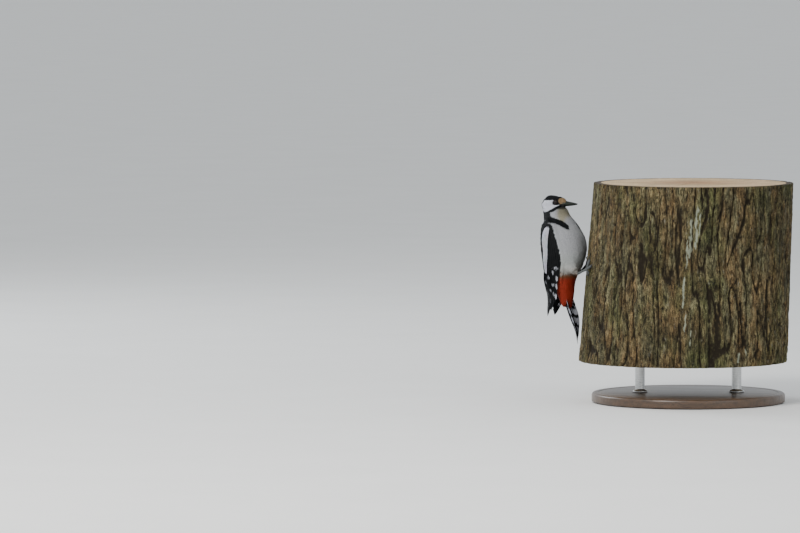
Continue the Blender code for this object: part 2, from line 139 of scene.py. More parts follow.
# ---- The tail: share of its length and place of its middle, then its section
TAIL_LINE = np.array([
    (0, -181, 17.5, 84), (0.27, -174.5, 14.6, 62), (0.51, -168, 11.2, 42), (0.75, -161.9, 7.6, 22),
])
TAIL_TIP = (-1.5, 1.5)  # where it props itself on the bark: angle and height
TAIL_LEAD = 2.4  # off the bark there
TAIL = np.array([  # share, half width, thickness, arch of its roof, turn
    (0, 7, 4.6, 2, 28), (0.2, 9.8, 4.2, 4.6, 28), (0.5, 12, 3.4, 6.4, 26), (0.75, 10, 2.6, 2.6, 18),
    (0.92, 6.2, 1.9, 1.2, 10), (1, 2.2, 1.2, 0.6, 6),
])

# ---- The legs: angle and height of each foot on the bark, and places of heels and hips
FEET = {"right": (13.0, 113.0), "left": (-14.5, 114.0)}
HEELS = {"right": (-161.5, -20.0, 105.5), "left": (-155.5, 28.5, 105.5)}
HIPS = {"right": (-176.0, 3.0, 116.0), "left": (-173.0, 24.0, 117.0)}
KNEE_SHARE = 0.55
KNEE_RISE = 1.5
SHANK = 7.0  # of the leg that runs up inside the thigh's feathers
FOOT_LIFT = 3.6
LEG_SIDES = 16
TARSUS_RINGS, TARSUS_SCUTES = 98, 14
TOE_RINGS, TOE_SCUTES = 66, 11
TARSUS_GIRTH = (2.2, 1.7, 1.75, 2.2)
TARSUS_FLAT = 0.86  # its breadth as a share of its depth
TOES = {  # heading from up and outwards, length, girth, claw
    "inner": (-24.0, 11.0, 1.45, 6.0),
    "middle": (12.0, 14.5, 1.6, 7.5),
    "outer": (68.0, 15.0, 1.6, 7.5),
    "hind": (158.0, 8.0, 1.3, 5.0),
}
TOE_ROOT = 1.1
TOE_TIP = 0.8
TOE_BEND = 0.5
REST_GAP = 0.6
CLAW_RINGS, CLAW_SIDES = 26, 12
CLAW_GIRTH = 0.95
CLAW_FLAT = 0.78
CLAW_START = 0.8
CLAW_CURVE = ((0.0, 0.4), (0.28, 1.6), (0.6, 1.0), (0.8, -0.9))

# ---- The stage, in metres
FLOOR_RADIUS = 90.0
FLOOR_GAP = 0.0004
SKY_TONE = (0.93, 0.97, 1.0)
LAMP_AIM = np.array([-0.18, 0.0, 0.2])
LAMPS = (  # name, place, size, power where no setting gives it, and tone
    ("key", (-1.5, -2.2, 2.3), 1.2, None, (1.0, 0.98, 0.95)),
    ("rim", (-2.2, 1.6, 1.6), 1.4, 42.0, (0.93, 0.97, 1.0)),
    ("fill", (2.2, -2.6, 1.4), 2.0, 22.0, (1.0, 0.97, 0.92)),
)

# ---- The camera
CAMERA_LENS = 300.0
CAMERA_RISE = 3.5
CAMERA_AIM = (-417.6, 20.0, 195.0)
CAMERA_AWAY = 9667.0


# ---- Shared tools


def blend(first, second, share):
    """A mix of two values, in which the second has this share."""
    return np.asarray(first) * (1 - share) + np.asarray(second) * share


def smooth(table, at):
    """The columns of a table at values of its first column, on a curve through its rows."""
    at = np.atleast_1d(np.asarray(at, float))
    x, y = table[:, 0], table[:, 1:]
    if x[0] > x[-1]:
        x, y = x[::-1], y[::-1]
    slope = np.gradient(y, x, axis=0)
    i = np.clip(np.searchsorted(x, at) - 1, 0, len(x) - 2)
    step = (x[i + 1] - x[i])[..., None]
    t = np.clip((at[..., None] - x[i][..., None]) / step, 0.0, 1.0)
    ease, lead, trail = t * t * (3 - 2 * t), t * (1 - t) ** 2, t * t * (t - 1)
    return blend(y[i], y[i + 1], ease) + step * (lead * slope[i] + trail * slope[i + 1])


def step_up(value, low, high):
    """0 below low, 1 above high, and eased between."""
    t = np.clip((value - low) / (high - low), 0.0, 1.0)
    return t * t * (3 - 2 * t)


def forward(turn):
    """The direction of a belly or bill turned so many degrees from +X towards -Y."""
    t = np.radians(turn)
    return np.stack([np.cos(t), -np.sin(t), np.zeros_like(t)], axis=-1)


def rightward(turn):
    t = np.radians(turn)
    return np.stack([-np.sin(t), -np.cos(t), np.zeros_like(t)], axis=-1)


def unit(vectors):
    return vectors / np.maximum(np.linalg.norm(vectors, axis=-1, keepdims=True), 1e-9)


def raised(points):
    """Points whose heights count from the tail's tip, at their place in the frame."""
    return points + UP * BIRD_FLOOR


def girth_radius(height, angle):
    """How far the plumage reaches from the body's line, at angles from the belly in degrees."""
    girth = smooth(GIRTH, height)
    wide, front, back = girth[..., 0], girth[..., 1], girth[..., 2]
    a = np.radians(angle)
    depth = np.where(np.cos(a) > 0, front, back)
    return 1.0 / np.hypot(np.cos(a) / depth, np.sin(a) / wide)


def round_body(height, angle, radius):
    """Points that far from the body's line; angles run from the belly towards the right side."""
    line = smooth(AXIS, height)
    a = np.radians(angle)[..., None]
    out = forward(line[..., 2]) * np.cos(a) + rightward(line[..., 2]) * np.sin(a)
    middle = np.stack([line[..., 0], line[..., 1], np.asarray(height, float)], axis=-1)
    return raised(middle + out * np.asarray(radius)[..., None])


def body_place(points):
    """Height above the tail's tip, angle from the belly in degrees, and radius, of points."""
    height = points[:, 2] - BIRD_FLOOR
    line = smooth(AXIS, height)
    away = points - np.stack([line[:, 0], line[:, 1], points[:, 2]], axis=-1)
    ahead = (away * forward(line[:, 2])).sum(axis=1)
    side = (away * rightward(line[:, 2])).sum(axis=1)
    return height, np.degrees(np.arctan2(side, ahead)), np.hypot(ahead, side)


def square_to(ways, line):
    """The part of each direction that lies square to a line, at length 1."""
    return unit(ways - line * (ways * line).sum(axis=-1, keepdims=True))


def head_place(ahead, side, up):
    """Points of the head: ahead along the bill, out to the bird's right, and up."""
    ahead, side, up = np.broadcast_arrays(*np.atleast_1d(ahead, side, up))
    place = HEAD_MIDDLE + ahead[..., None] * forward(HEAD_TURN) + side[..., None] * rightward(HEAD_TURN)
    return raised(place + up[..., None] * UP)


def head_parts(points):
    """How far points lie ahead of the head's middle, to its right and over it."""
    away = points - raised(HEAD_MIDDLE)
    return away @ forward(HEAD_TURN), away @ rightward(HEAD_TURN), away[:, 2]


def put(name, data):
    """An object with this data, linked into the scene."""
    obj = bpy.data.objects.new(name, data)
    bpy.context.scene.collection.objects.link(obj)
    return obj


def read_off(items, field, width, kind=np.float32):
    """One field of all of a mesh's items, a row for each."""
    values = np.zeros(len(items) * width, kind)
    items.foreach_get(field, values)
    return values.reshape(-1, width)


def mesh_piece(name, points, faces, finish, smoothed=True):
    """An object from points in millimetres and arrays of faces, each array with its own corner count."""
    mesh = bpy.data.meshes.new(name)
    corners = np.concatenate([f.ravel() for f in faces]).astype(np.int32)
    totals = np.concatenate([np.full(len(f), f.shape[1], np.int32) for f in faces])
    starts = np.concatenate([[0], np.cumsum(totals)[:-1]]).astype(np.int32)
    mesh.vertices.add(len(points))
    mesh.vertices.foreach_set("co", np.asarray(points, np.float32).ravel() * MM)
    mesh.loops.add(len(corners))
    mesh.loops.foreach_set("vertex_index", corners)
    mesh.polygons.add(len(totals))
    mesh.polygons.foreach_set("loop_start", starts)
    mesh.update(calc_edges=True)
    mesh.validate()
    if smoothed:
        mesh.shade_smooth()
    mesh.materials.append(finish)
    return put(name, mesh)


def tint(obj, name, colours):
    """Gives each point of a piece its colour, as an attribute that its material reads."""
    layer = obj.data.color_attributes.new(name, "FLOAT_COLOR", "POINT")
    rgba = np.ones((len(colours), 4), np.float32)
    rgba[:, :3] = colours
    layer.data.foreach_set("color", rgba.ravel())


def mark(obj, name, values):
    """Gives each point of a piece a value, as an attribute that its material reads."""
    layer = obj.data.attributes.new(name, "FLOAT", "POINT")
    layer.data.foreach_set("value", np.asarray(values, np.float32).ravel())


def lay_out(obj, name, places):
    """A UV map from one place for each point."""
    corner = read_off(obj.data.loops, "vertex_index", 1, np.int32)[:, 0]
    layer = obj.data.uv_layers.new(name=name)
    layer.data.foreach_set("uv", np.asarray(places, np.float32)[corner].ravel())


def grid_faces(rows, columns, closed=False):
    """Quads between rows of points, as a sheet, or closed round its columns."""
    r, c = np.meshgrid(np.arange(rows - 1), np.arange(columns if closed else columns - 1), indexing="ij")
    r, c = r.ravel(), c.ravel()
    d = (c + 1) % columns
    return np.stack([r * columns + c, r * columns + d, (r + 1) * columns + d, (r + 1) * columns + c], axis=1)


def end_fans(rings, sides):
    """Triangles that close a tube of rings, on the two points that follow them."""
    around = np.arange(sides)
    turn, last = np.roll(around, -1), (rings - 1) * sides
    return [np.stack([turn, around, np.full(sides, rings * sides)], axis=1),
            np.stack([around + last, turn + last, np.full(sides, rings * sides + 1)], axis=1)]


def select_only(*objects):
    bpy.ops.object.select_all(action="DESELECT")
    for obj in objects:
        obj.select_set(True)
    bpy.context.view_layer.objects.active = objects[0]


def apply_modifier(obj, kind, **values):
    """Adds a modifier with these values and applies it."""
    select_only(obj)
    modifier = obj.modifiers.new(kind.lower(), kind)
    for key, value in values.items():
        setattr(modifier, key, value)
    bpy.ops.object.modifier_apply(modifier=modifier.name)
    return obj


def edit_all(obj, work, **values):
    """Runs one of Blender's editing operators on all of a piece."""
    select_only(obj)
    bpy.ops.object.mode_set(mode="EDIT")
    bpy.ops.mesh.select_all(action="SELECT")
    work(**values)
    bpy.ops.object.mode_set(mode="OBJECT")


def face_outwards(obj):
    edit_all(obj, bpy.ops.mesh.normals_make_consistent, inside=False)


def settle(obj):
    """Puts a piece's origin at the frame's, with its place in its mesh."""
    select_only(obj)
    bpy.ops.object.transform_apply(location=True, rotation=True, scale=True)
    return obj


def dress(obj, slot, *nodes):
    """Rides a piece on the frame and lets it stand for its CAD nodes, which it hides; its slot is not used.
    """
    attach(obj, "root")
    if nodes:
        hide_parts(*nodes)
    return obj


# ---- Materials


SOCKET_KINDS = {"Tone": "Color", "First": "Color", "Second": "Color", "Color": "Color", "Stretch": "Vector"}


class Nodes:
    """The shader nodes of a material or of a node group, fed with values or with sockets."""

    def __init__(self, tree):
        self.tree = tree

    def feed(self, socket, value):
        """Links a socket to another, or gives it a value."""
        if hasattr(value, "links"):
            self.tree.links.new(value, socket)
        else:
            socket.default_value = (*value, 1.0) if socket.type == "RGBA" else value

    def node(self, kind, takes=(), **settings):
        """A node with its settings, its inputs fed from (input, value) pairs."""
        made = self.tree.nodes.new(kind)
        for key, value in settings.items():
            setattr(made, key, value)
        for key, value in takes:
            self.feed(made.inputs[key], value)
        return made

    def effect(self, name, build, gives, **takes):
        """Places a node group, built once, its inputs given by name; its first use sets its defaults."""
        group = bpy.data.node_groups.get(name)
        if group is None:
            group = bpy.data.node_groups.new(name, "ShaderNodeTree")
            sockets = [(label, "INPUT") for label in takes] + [(gives, "OUTPUT")]
            for label, way in sockets:
                kind = f"NodeSocket{SOCKET_KINDS.get(label, 'Float')}"
                socket = group.interface.new_socket(label, in_out=way, socket_type=kind)
                if isinstance(takes.get(label), float):
                    socket.default_value = takes[label]
            into, out = group.nodes.new("NodeGroupInput"), group.nodes.new("NodeGroupOutput")
            group.links.new(build(Nodes(group), into.outputs), out.inputs[0])
        return self.node("ShaderNodeGroup", takes.items(), node_tree=group).outputs[0]

    def ranged(self, value, low, high, least=0.0, most=1.0):
        """A value's place between low and high, put between least and most."""
        takes = (("Value", value), ("From Min", low), ("From Max", high), ("To Min", least), ("To Max", most))
        return self.node("ShaderNodeMapRange", takes, clamp=True).outputs["Result"]

    def mixed(self, factor, first, second):
        """A mix of two colours, each a socket or an RGB value."""
        return self.node("ShaderNodeMix", ((0, factor), (6, first), (7, second)), data_type="RGBA").outputs[2]

    def attribute(self, name, output="Fac"):
        return self.node("ShaderNodeAttribute", attribute_name=name).outputs[output]

    def calculated(self, operation, first, second=0.0, third=0.0):
        return self.node("ShaderNodeMath", enumerate((first, second, third)), operation=operation).outputs[0]

    def grain(self, scale, detail=4.0, stretch=(1.0, 1.0, 1.0), roughness=0.55):
        """Noise on the piece's own coordinates, with so many features to a metre."""
        return self.effect("Stretched Grain", build_grain, "Grain", Scale=scale, Detail=detail,
                           Stretch=stretch, Roughness=roughness)

    def two_tones(self, value, low, high, first, second):
        """One colour where a value is low and another where it is high."""
        return self.effect("Two Tones", build_two_tones, "Color", Value=value, Low=low, High=high,
                           First=first, Second=second)

    def shaded(self, tone, value, low, high, least, most):
        """A colour made darker where a value is low and lighter where it is high."""
        return self.effect("Shaded Tone", build_shaded, "Color", Tone=tone, Value=value, Low=low, High=high,
                           Least=least, Most=most)

    def feather_gloss(self, tone, dark, pale):
        """The roughness of feathers, which are glossier where they are black."""
        return self.effect("Feather Gloss", build_feather_gloss, "Roughness", Tone=tone, Dark=dark, Pale=pale)


def build_grain(mix, given):
    place = mix.node("ShaderNodeTexCoord").outputs["Object"]
    mapped = mix.node("ShaderNodeMapping", [("Vector", place), ("Scale", given["Stretch"])])
    takes = [(key, given[key]) for key in ("Scale", "Detail", "Roughness")]
    return mix.node("ShaderNodeTexNoise", [("Vector", mapped.outputs["Vector"]), *takes]).outputs["Fac"]


def build_two_tones(mix, given):
    share = mix.ranged(given["Value"], given["Low"], given["High"])
    return mix.mixed(share, given["First"], given["Second"])


def build_shaded(mix, given):
    share = mix.ranged(*(given[key] for key in ("Value", "Low", "High", "Least", "Most")))
    takes = [(0, given["Tone"]), ("Scale", share)]
    return mix.node("ShaderNodeVectorMath", takes, operation="SCALE").outputs["Vector"]


def build_feather_gloss(mix, given):
    light = mix.node("ShaderNodeRGBToBW", [("Color", given["Tone"])]).outputs["Val"]
    return mix.ranged(light, 0.02, 0.3, given["Dark"], given["Pale"])


class Finish(Nodes):
    """A material and its shader."""

    def __init__(self, name):
        self.material = bpy.data.materials.get(name) or bpy.data.materials.new(name)
        self.material.use_nodes = True
        super().__init__(self.material.node_tree)
        self.tree.nodes.clear()
        out = self.node("ShaderNodeOutputMaterial")
        self.shader = self.node("ShaderNodeBsdfPrincipled")
        self.feed(out.inputs["Surface"], self.shader.outputs["BSDF"])

    def paint(self, colour, roughness, gloss=0.5, **more):
        """Sets the shader's colour, roughness, specular level, and other inputs named with _ for a space."""
        more |= {"base_color": colour, "roughness": roughness}
        self.feed(self.shader.inputs["Specular IOR Level"], gloss)
        for key, value in more.items():
            self.feed(self.shader.inputs[key.replace("_", " ").title()], value)

    def bump(self, height, distance, strength=1.0):
        takes = [("Height", height), ("Distance", distance), ("Strength", strength)]
        self.feed(self.shader.inputs["Normal"], self.node("ShaderNodeBump", takes).outputs["Normal"])


def scaled(colour, by):
    return tuple(by * part for part in colour)


def colours():
    return bpy.context.scene.woodpecker_colours


def sizes():
    return bpy.context.scene.woodpecker_sizes


def bark_finish():
    """Furrowed bark: painted shade in the cracks and the knot's hollow, brown and olive on the plates, with
    algae and grey flakes.
    """
    mix = Finish("Bark")
    tones = colours()
    relief = mix.attribute("Relief")
    fibres, fine, broad, patchy, large = (
        mix.grain(scale, detail, (1.0, 1.0, tall), rough) for scale, detail, tall, rough in (
            (520.0, 6.0, 0.2, 0.68), (1300.0, 5.0, 0.55, 0.7), (60.0, 5.0, 0.3, 0.6), (21.0, 5.0, 0.5, 0.6),
            (9.0, 3.0, 0.6, 0.5)))
    plate = mix.two_tones(broad, 0.4, 0.6, tones.bark_grey, tones.bark_ochre)
    plate = mix.mixed(mix.ranged(patchy, 0.46, 0.64, 0.0, 0.85), plate, tones.bark_algae)
    plate = mix.shaded(plate, fibres, 0.36, 0.66, 0.2, 1.9)
    plate = mix.shaded(plate, fine, 0.36, 0.64, 0.4, 1.6)
    plate = mix.shaded(plate, large, 0.35, 0.65, 0.75, 1.1)
    plate = mix.shaded(plate, mix.grain(120.0, 6.0, (1.0, 1.0, 0.26), 0.7), 0.38, 0.62, 0.4, 1.35)
    chips = mix.grain(270.0, 6.0, (1.0, 1.0, 0.38), 0.75)
    plate = mix.shaded(plate, chips, 0.37, 0.49, 0.25, 1.12)
    flakes = mix.grain(210.0, 6.0, (1.0, 1.0, 0.4), 0.7)
    plate = mix.mixed(mix.ranged(flakes, 0.60, 0.72, 0.0, 0.7), plate, tones.bark_flake)
    # painted shade: the cracks and the knot's hollow are darkened where the bark stands least out
    base = mix.mixed(mix.ranged(relief, 0.03, 0.5), tones.bark_crack_shade, plate)
    uneven = mix.calculated("SUBTRACT", chips, 0.5)
    crusted = mix.calculated("MULTIPLY_ADD", uneven, 3.0, mix.attribute("Resin"))
    base = mix.mixed(mix.ranged(crusted, 0.45, 0.75, 0.0, 0.8), base, tones.resin)
    mix.paint(base, 0.92, 0.2)
    mix.bump(mix.mixed(0.5, fibres, fine), 0.0026, 0.9)
    return mix.material


def sawn_finish():
    """Sawn end grain: growth rings round the log's own middle, with a saw's faint tracks."""
    mix = Finish("Sawn Wood")
    tones = colours()
    ring = mix.attribute("Ring")
    wandered = mix.calculated("MULTIPLY_ADD", mix.grain(14.0, 2.0), 0.05, ring)
    uneven = mix.calculated("MULTIPLY_ADD", mix.grain(3.0, 1.0), 0.1, wandered)
    rings = mix.calculated("FRACT", mix.calculated("MULTIPLY", uneven, 46.0))
    wood = mix.two_tones(wandered, 0.1, 0.7, tones.heartwood, tones.sapwood)
    wood = mix.shaded(wood, rings, 0.35, 1.0, 1.0, 0.66)
    wood = mix.shaded(wood, mix.grain(30.0, 5.0), 0.35, 0.7, 1.05, 0.72)
    wood = mix.shaded(wood, mix.grain(900.0, 4.0), 0.3, 0.7, 0.85, 1.08)
    wood = mix.mixed(mix.ranged(ring, 0.925, 0.94), wood, (0.035, 0.022, 0.013))
    tracks = mix.grain(420.0, 4.0, (1.0, 0.05, 1.0))
    wood = mix.shaded(wood, tracks, 0.35, 0.65, 0.93, 1.03)
    mix.paint(wood, 0.8, 0.3)
    mix.bump(tracks, 0.0004, 0.5)
    return mix.material


def stained_wood_finish():
    """Dark stained wood with long grain under a satin varnish."""
    mix = Finish("Stained Wood")
    tones = colours()
    grain_lines = mix.grain(160.0, 6.0, (0.06, 1.0, 1.0), 0.6)
    pores = mix.grain(1300.0, 3.0, (0.03, 1.0, 1.0))
    wood = mix.two_tones(grain_lines, 0.3, 0.7, scaled(tones.stand_wood, 0.45), tones.stand_wood)
    wood = mix.shaded(wood, pores, 0.42, 0.5, 0.5, 1.0)
    mix.paint(wood, mix.ranged(grain_lines, 0.2, 0.8, 0.5, 0.34), coat_weight=0.3, coat_roughness=0.2)
    mix.bump(pores, 0.0001, 0.5)
    return mix.material


def steel_finish():
    """Brushed steel, with fine lines round the rods."""
    mix = Finish("Brushed Steel")
    lines = mix.grain(900.0, 3.0, (0.05, 0.05, 1.0))
    steel = colours().stand_steel
    tone = mix.two_tones(lines, 0.3, 0.7, scaled(steel, 0.85), scaled(steel, 1.1))
    mix.paint(tone, mix.ranged(lines, 0.3, 0.7, 0.24, 0.4), metallic=1.0)
    mix.bump(lines, 0.00004, 0.6)
    return mix.material


# ---- The perch


def trunk_axis(height):
    """The middle of the tree's trunk and its crest radius, at a height above the tail's tip."""
    rise = height - GRIP_HEIGHT
    return TRUNK_LEAN * rise, TRUNK_RADIUS - TRUNK_TAPER * rise


def bark_point(angle, height, lift=0.0):
    """A point over the bark's crest: its angle from -X towards -Y in degrees, and its height."""
    middle, radius = trunk_axis(height)
    a, reach = math.radians(angle), radius + lift
    return np.array([middle - reach * math.cos(a), -reach * math.sin(a), height])


KNOT_PLACE = bark_point(*KNOT)


def resin_on(angle, height):
    """How much dried resin lies on the bark there, from 0 to 1."""
    stray = noise.noise((height / 9.0, angle / 4.0, 2.0))
    amount = 0.0
    for middle, top, foot, broad in RESIN:
        across = (angle - middle - 0.9 * stray) / broad
        ends = float(step_up(top - height, 0.0, 9.0) * step_up(height - foot, 0.0, 12.0))
        amount = max(amount, math.exp(-across * across) * ends)
    return amount


def crack_gap(x, y, z):
    """How far off a noise crosses nought; more where the noise is flat, so that a crack ends there."""
    here, beside, behind = (noise.noise((x + right, y + back, z))
                            for right, back in ((0.0, 0.0), (CRACK_STEP, 0.0), (0.0, CRACK_STEP)))
    slope = math.hypot(beside - here, behind - here) / CRACK_STEP
    return abs(here) / (slope + 0.25) + 0.12 * max(0.0, 1.0 - slope / 0.45)


def bark_depth(point):
    """How deep the bark lies under its crest, and how far it stands out of the cracks from 0 to 1, which sets
    the painted shade in the cracks.
    """
    x, y, z = point
    across = sizes().bark_furrows / MM
    swirl = [noise.noise((x / 45.0 + shift, y / 45.0, z / 110.0 - shift)) for shift in BARK_SWIRLS]
    x, y = x + BARK_WANDER * swirl[0], y + BARK_WANDER * swirl[1]
    long_crack = crack_gap(x / across, y / across, z / BARK_LONG + 1.3 * swirl[2])
    side_crack = crack_gap(x / 6.5 + 7.0, y / 6.5, z / 34.0 + swirl[2])
    chink = abs(noise.noise((x / 3.6, y / 3.6 + 3.0, z / 26.0)))
    flake = noise.fractal((x / 2.6, y / 2.6, z / 9.0), 0.9, 2.1, 4)
    level = noise.cell((x / 6.5 + swirl[1], y / 6.5 + 0.8 * swirl[2], z / 33.0 + 1.6 * swirl[0]))
    furrow = max(0.0, 1.0 - min(1.0, long_crack / 0.125 + 0.35 * flake))
    slit = max(0.0, 1.0 - min(1.0, side_crack / 0.105 + 0.2 * flake))
    nick = 1.0 - min(1.0, chink / 0.16)
    deep = sizes().bark_depth / MM
    depth = deep * furrow ** 0.8 + 0.45 * deep * slit * (1 - furrow) + 0.6 * nick
    depth += 0.9 * abs(level) + 0.8 * abs(flake)
    stand = 1.0 - min(1.0, 1.05 * furrow ** 0.8 + 0.6 * slit + 0.2 * nick)
    gap = float(np.linalg.norm(np.array(point) - KNOT_PLACE))
    hollow = math.exp(-((gap / 7.0) ** 2))
    depth += 2.6 * hollow - 1.2 * math.exp(-(((gap - 13.0) / 5.0) ** 2)) * (1.0 - furrow)
    # the knot's hollow stands less out, so that painted shade darkens it
    return depth, stand * (1.0 - 0.85 * hollow)


def make_bark():
    rows, columns = BARK_UP, BARK_ROUND
    points, relief, resin = np.zeros((rows, columns, 3)), np.zeros((rows, columns)), np.zeros((rows, columns))
    for r in range(rows):
        height = PERCH_LOW - BIRD_FLOOR + (PERCH_HIGH - PERCH_LOW) * r / (rows - 1)
        for c in range(columns):
            angle = 360.0 * c / columns - 180.0
            depth, relief[r, c] = bark_depth(bark_point(angle, height))
            points[r, c] = bark_point(angle, height, -depth)
            resin[r, c] = resin_on(angle, height) if RESIN_FROM < angle < RESIN_TO else 0.0
    faces = grid_faces(rows, columns, closed=True)[:, ::-1]
    bark = mesh_piece("perch_bark", raised(points.reshape(-1, 3)), [faces], bark_finish())
    mark(bark, "Relief", relief)
    mark(bark, "Resin", resin)
    return bark, points


def make_cut(name, rim, height, up):
    """A sawn face of the log: rings of points from its rim to its middle, with a few drying cracks."""
    middle = np.array([trunk_axis(height)[0], 0.0, height])
    angles = np.linspace(0, math.tau, len(rim), endpoint=False)
    spokes = rim - middle
    even = unit(spokes) * np.percentile(np.linalg.norm(spokes, axis=1, keepdims=True), 60)
    points = []
    for share in CUT_RINGS:
        ring = middle + blend(even, spokes, share ** 10) * share
        split = sum(np.exp(-(((angles - at + 3 * math.pi) % math.tau - math.pi) * 60.0 * share) ** 2)
                    for at in CUT_CRACKS)
        ring[:, 2] -= up * 1.6 * split * (0.2 < share < 0.93)
        points.append(ring)
    count, sides = len(CUT_RINGS), len(rim)
    around, last = np.arange(sides), (count - 1) * sides
    fan = np.stack([last + around, last + (around + 1) % sides, np.full(sides, count * sides)], axis=1)
    faces = [part[:, ::-up] for part in (grid_faces(count, sides, closed=True), fan)]
    cut = mesh_piece(name, raised(np.concatenate([*points, middle[None]])), faces, sawn_finish())
    mark(cut, "Ring", np.concatenate([np.repeat(CUT_RINGS, sides), [0.0]]))
    return cut


# ---- The stand


def turned(name, place, profile, sides, finish, rounding):
    """A turned piece: a disc extruded and scaled through rows of (radius, height), its edges rounded."""
    x, y = place
    (radius, height), *rest = profile
    bpy.ops.mesh.primitive_circle_add(vertices=sides, radius=radius * MM, fill_type="NGON",
                                      location=(x * MM, y * MM, height * MM))
    made = bpy.context.object
    made.name = made.data.name = name
    bpy.ops.object.mode_set(mode="EDIT")
    bpy.ops.mesh.select_mode(type="FACE")
    bpy.ops.mesh.select_all(action="SELECT")
    for wide, high in rest:
        bpy.ops.mesh.extrude_region_move(TRANSFORM_OT_translate={"value": (0.0, 0.0, (high - height) * MM)})
        grow = wide / radius
        bpy.ops.transform.resize(value=(grow, grow, 1.0), center_override=(x * MM, y * MM, high * MM))
        radius, height = wide, high
    bpy.ops.object.mode_set(mode="OBJECT")
    face_outwards(made)
    settle(made)
    made.data.materials.append(finish)
    apply_modifier(made, "BEVEL", width=rounding * MM, segments=3, limit_method="ANGLE")
    bpy.ops.object.shade_smooth_by_angle(angle=math.radians(35))
    return made


def make_base():
    """A turned base with a shadow gap under it, a rounded rim and a groove round its top."""
    edge = sizes().base_edge / MM
    wide, high = BASE_RADIUS, BASE_HIGH
    rim = [(wide - edge * (1 - math.sin(a)), high - edge * (1 - math.cos(a)))
           for a in np.radians((90.0, 72.0, 54.0, 36.0, 18.0, 0.0))]
    profile = [(wide - 3.0, 0.0), (wide - 3.0, 1.4), (wide, 1.4), *rim, (wide - edge - 5.0, high),
               (wide - edge - 5.8, high - 0.9), (wide - edge - 7.4, high - 0.9), (wide - edge - 8.2, high)]
    return turned("stand_turned_base", (0.0, 0.0), profile, 160, stained_wood_finish(), 0.3)


def make_rod(name, source):
    """A steel rod with a turned collar at each end, where it enters the wood."""
    low, high = (np.array(corner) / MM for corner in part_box(source))
    place = ((low[0] + high[0]) / 2, (low[1] + high[1]) / 2)
    radius = (high[0] - low[0]) / 2
    collar = ((4.0, 0.0), (4.0, 1.4), (2.6, 3.0), (0.6, 3.6), (0.0, 4.4))
    profile = [(radius + wide, low[2] + rise) for wide, rise in collar]
    profile += [(radius + wide, high[2] - rise) for wide, rise in reversed(collar)]
    return turned(name, place, profile, 48, steel_finish(), 0.25)


# ---- The stage


def make_stage():
    scene = bpy.context.scene
    bpy.ops.mesh.primitive_circle_add(vertices=96, radius=FLOOR_RADIUS, fill_type="NGON",
                                      location=(0, 0, -FLOOR_GAP))
    floor = bpy.context.object
    floor.name = "floor"
    mix = Finish("Pale Floor")
    tone = colours().floor
    mix.paint(mix.two_tones(mix.grain(6.0, 3.0), 0.3, 0.7, scaled(tone, 0.97), tone), 0.85)
    floor.data.materials.append(mix.material)

    world = bpy.data.worlds.new("Soft Studio")
    world.use_nodes = True
    surround = world.node_tree.nodes["Background"].inputs
    surround["Color"].default_value = (*SKY_TONE, 1.0)
    surround["Strength"].default_value = sizes().sky
    scene.world = world

    for name, place, size, power, tone in LAMPS:
        light = bpy.data.lights.new(name, "AREA")
        light.size = size
        light.energy = power or sizes().key_power
        light.color = tone
        lamp = put(name, light)
        lamp.location = place
        lamp.rotation_euler = Vector(LAMP_AIM - np.array(place)).to_track_quat("-Z", "Y").to_euler()

    lens = bpy.data.cameras.new("camera")
    lens.lens = CAMERA_LENS
    lens.sensor_width = 36.0
    lens.clip_end = 200.0
    camera = put("camera", lens)
    rise = math.radians(CAMERA_RISE)
    away = Vector((0.0, -math.cos(rise), math.sin(rise)))
    camera.location = Vector(CAMERA_AIM) * MM + away * CAMERA_AWAY * MM
    camera.rotation_euler = (-away).to_track_quat("-Z", "Y").to_euler()
    scene.camera = camera


# ---- Markings, with painted shade


def edge_distance(shape, x, y):
    """How far inside a closed outline points lie: positive inside, negative outside."""
    ring = np.array(shape, float)
    point = np.stack([x, y], axis=-1)[:, None, :]
    start, end = ring[None], np.roll(ring, -1, axis=0)[None]
    side = end - start
    t = np.clip(((point - start) * side).sum(-1) / (side**2).sum(-1), 0.0, 1.0)
    distance = np.linalg.norm(point - start - t[..., None] * side, axis=-1).min(axis=1)
    (x0, y0), (x1, y1), (px, py) = (np.moveaxis(ends, -1, 0) for ends in (start, end, point))
    crosses = ((y0 > py) != (y1 > py)) & (px < (x1 - x0) * (py - y0) / np.where(y1 == y0, 1e-9, y1 - y0) + x0)
    return np.where(crosses.sum(axis=1) % 2 == 1, distance, -distance)


# Outlines on the side of the head, as places ahead of its middle and above it
EYE_PATCH = (
    (5.3, 1.2), (6, -1.5), (9, -2.6), (13.5, -2.3), (16.6, -1), (15.5, 4.5), (14, 6), (7.4, 6),
    (6.2, 2.6),
)
FOREHEAD = (
    (15.2, 8.2), (13.9, 4.6), (15.9, -1), (18.5, -0.2), (21, 1.2), (29, 2.2), (29, 9), (20, 9), (18, 7.6),
)
CHEEK = (
    (-19, 4.3), (-12, 4.2), (3, 4.4), (7.6, 5), (5.2, 1.2), (6, -1.7), (9, -2.9), (13.5, -2.5),
    (16, -1.4), (15.3, -2.7), (10.5, -5.5), (5.9, -8.4), (0.4, -11), (-4.6, -12.3), (-9.4, -11.3),
    (-12.6, -8.4), (-15, -3), (-19, 0),
)
MALAR = (
    (27, -0.8), (16.2, -0.9), (15.3, -2.7), (10.5, -5.5), (5.9, -8.4), (0.4, -11), (-4.6, -12.3),
    (-9.4, -11.3), (-12.6, -8.4), (-24, -8), (-24, -22), (2, -22), (2.9, -14.2), (10.6, -11.3),
    (12.7, -9.6), (16, -7), (20, -4.6), (27, -3.6),
)
VENT_ENDS = (  # how low the red feathers hang, by degrees from the belly
    (-120, 58), (-85, 56), (-40, 54), (-10, 51.5), (15, 57), (38, 62.5), (62, 58), (90, 54.5), (120, 58),
)
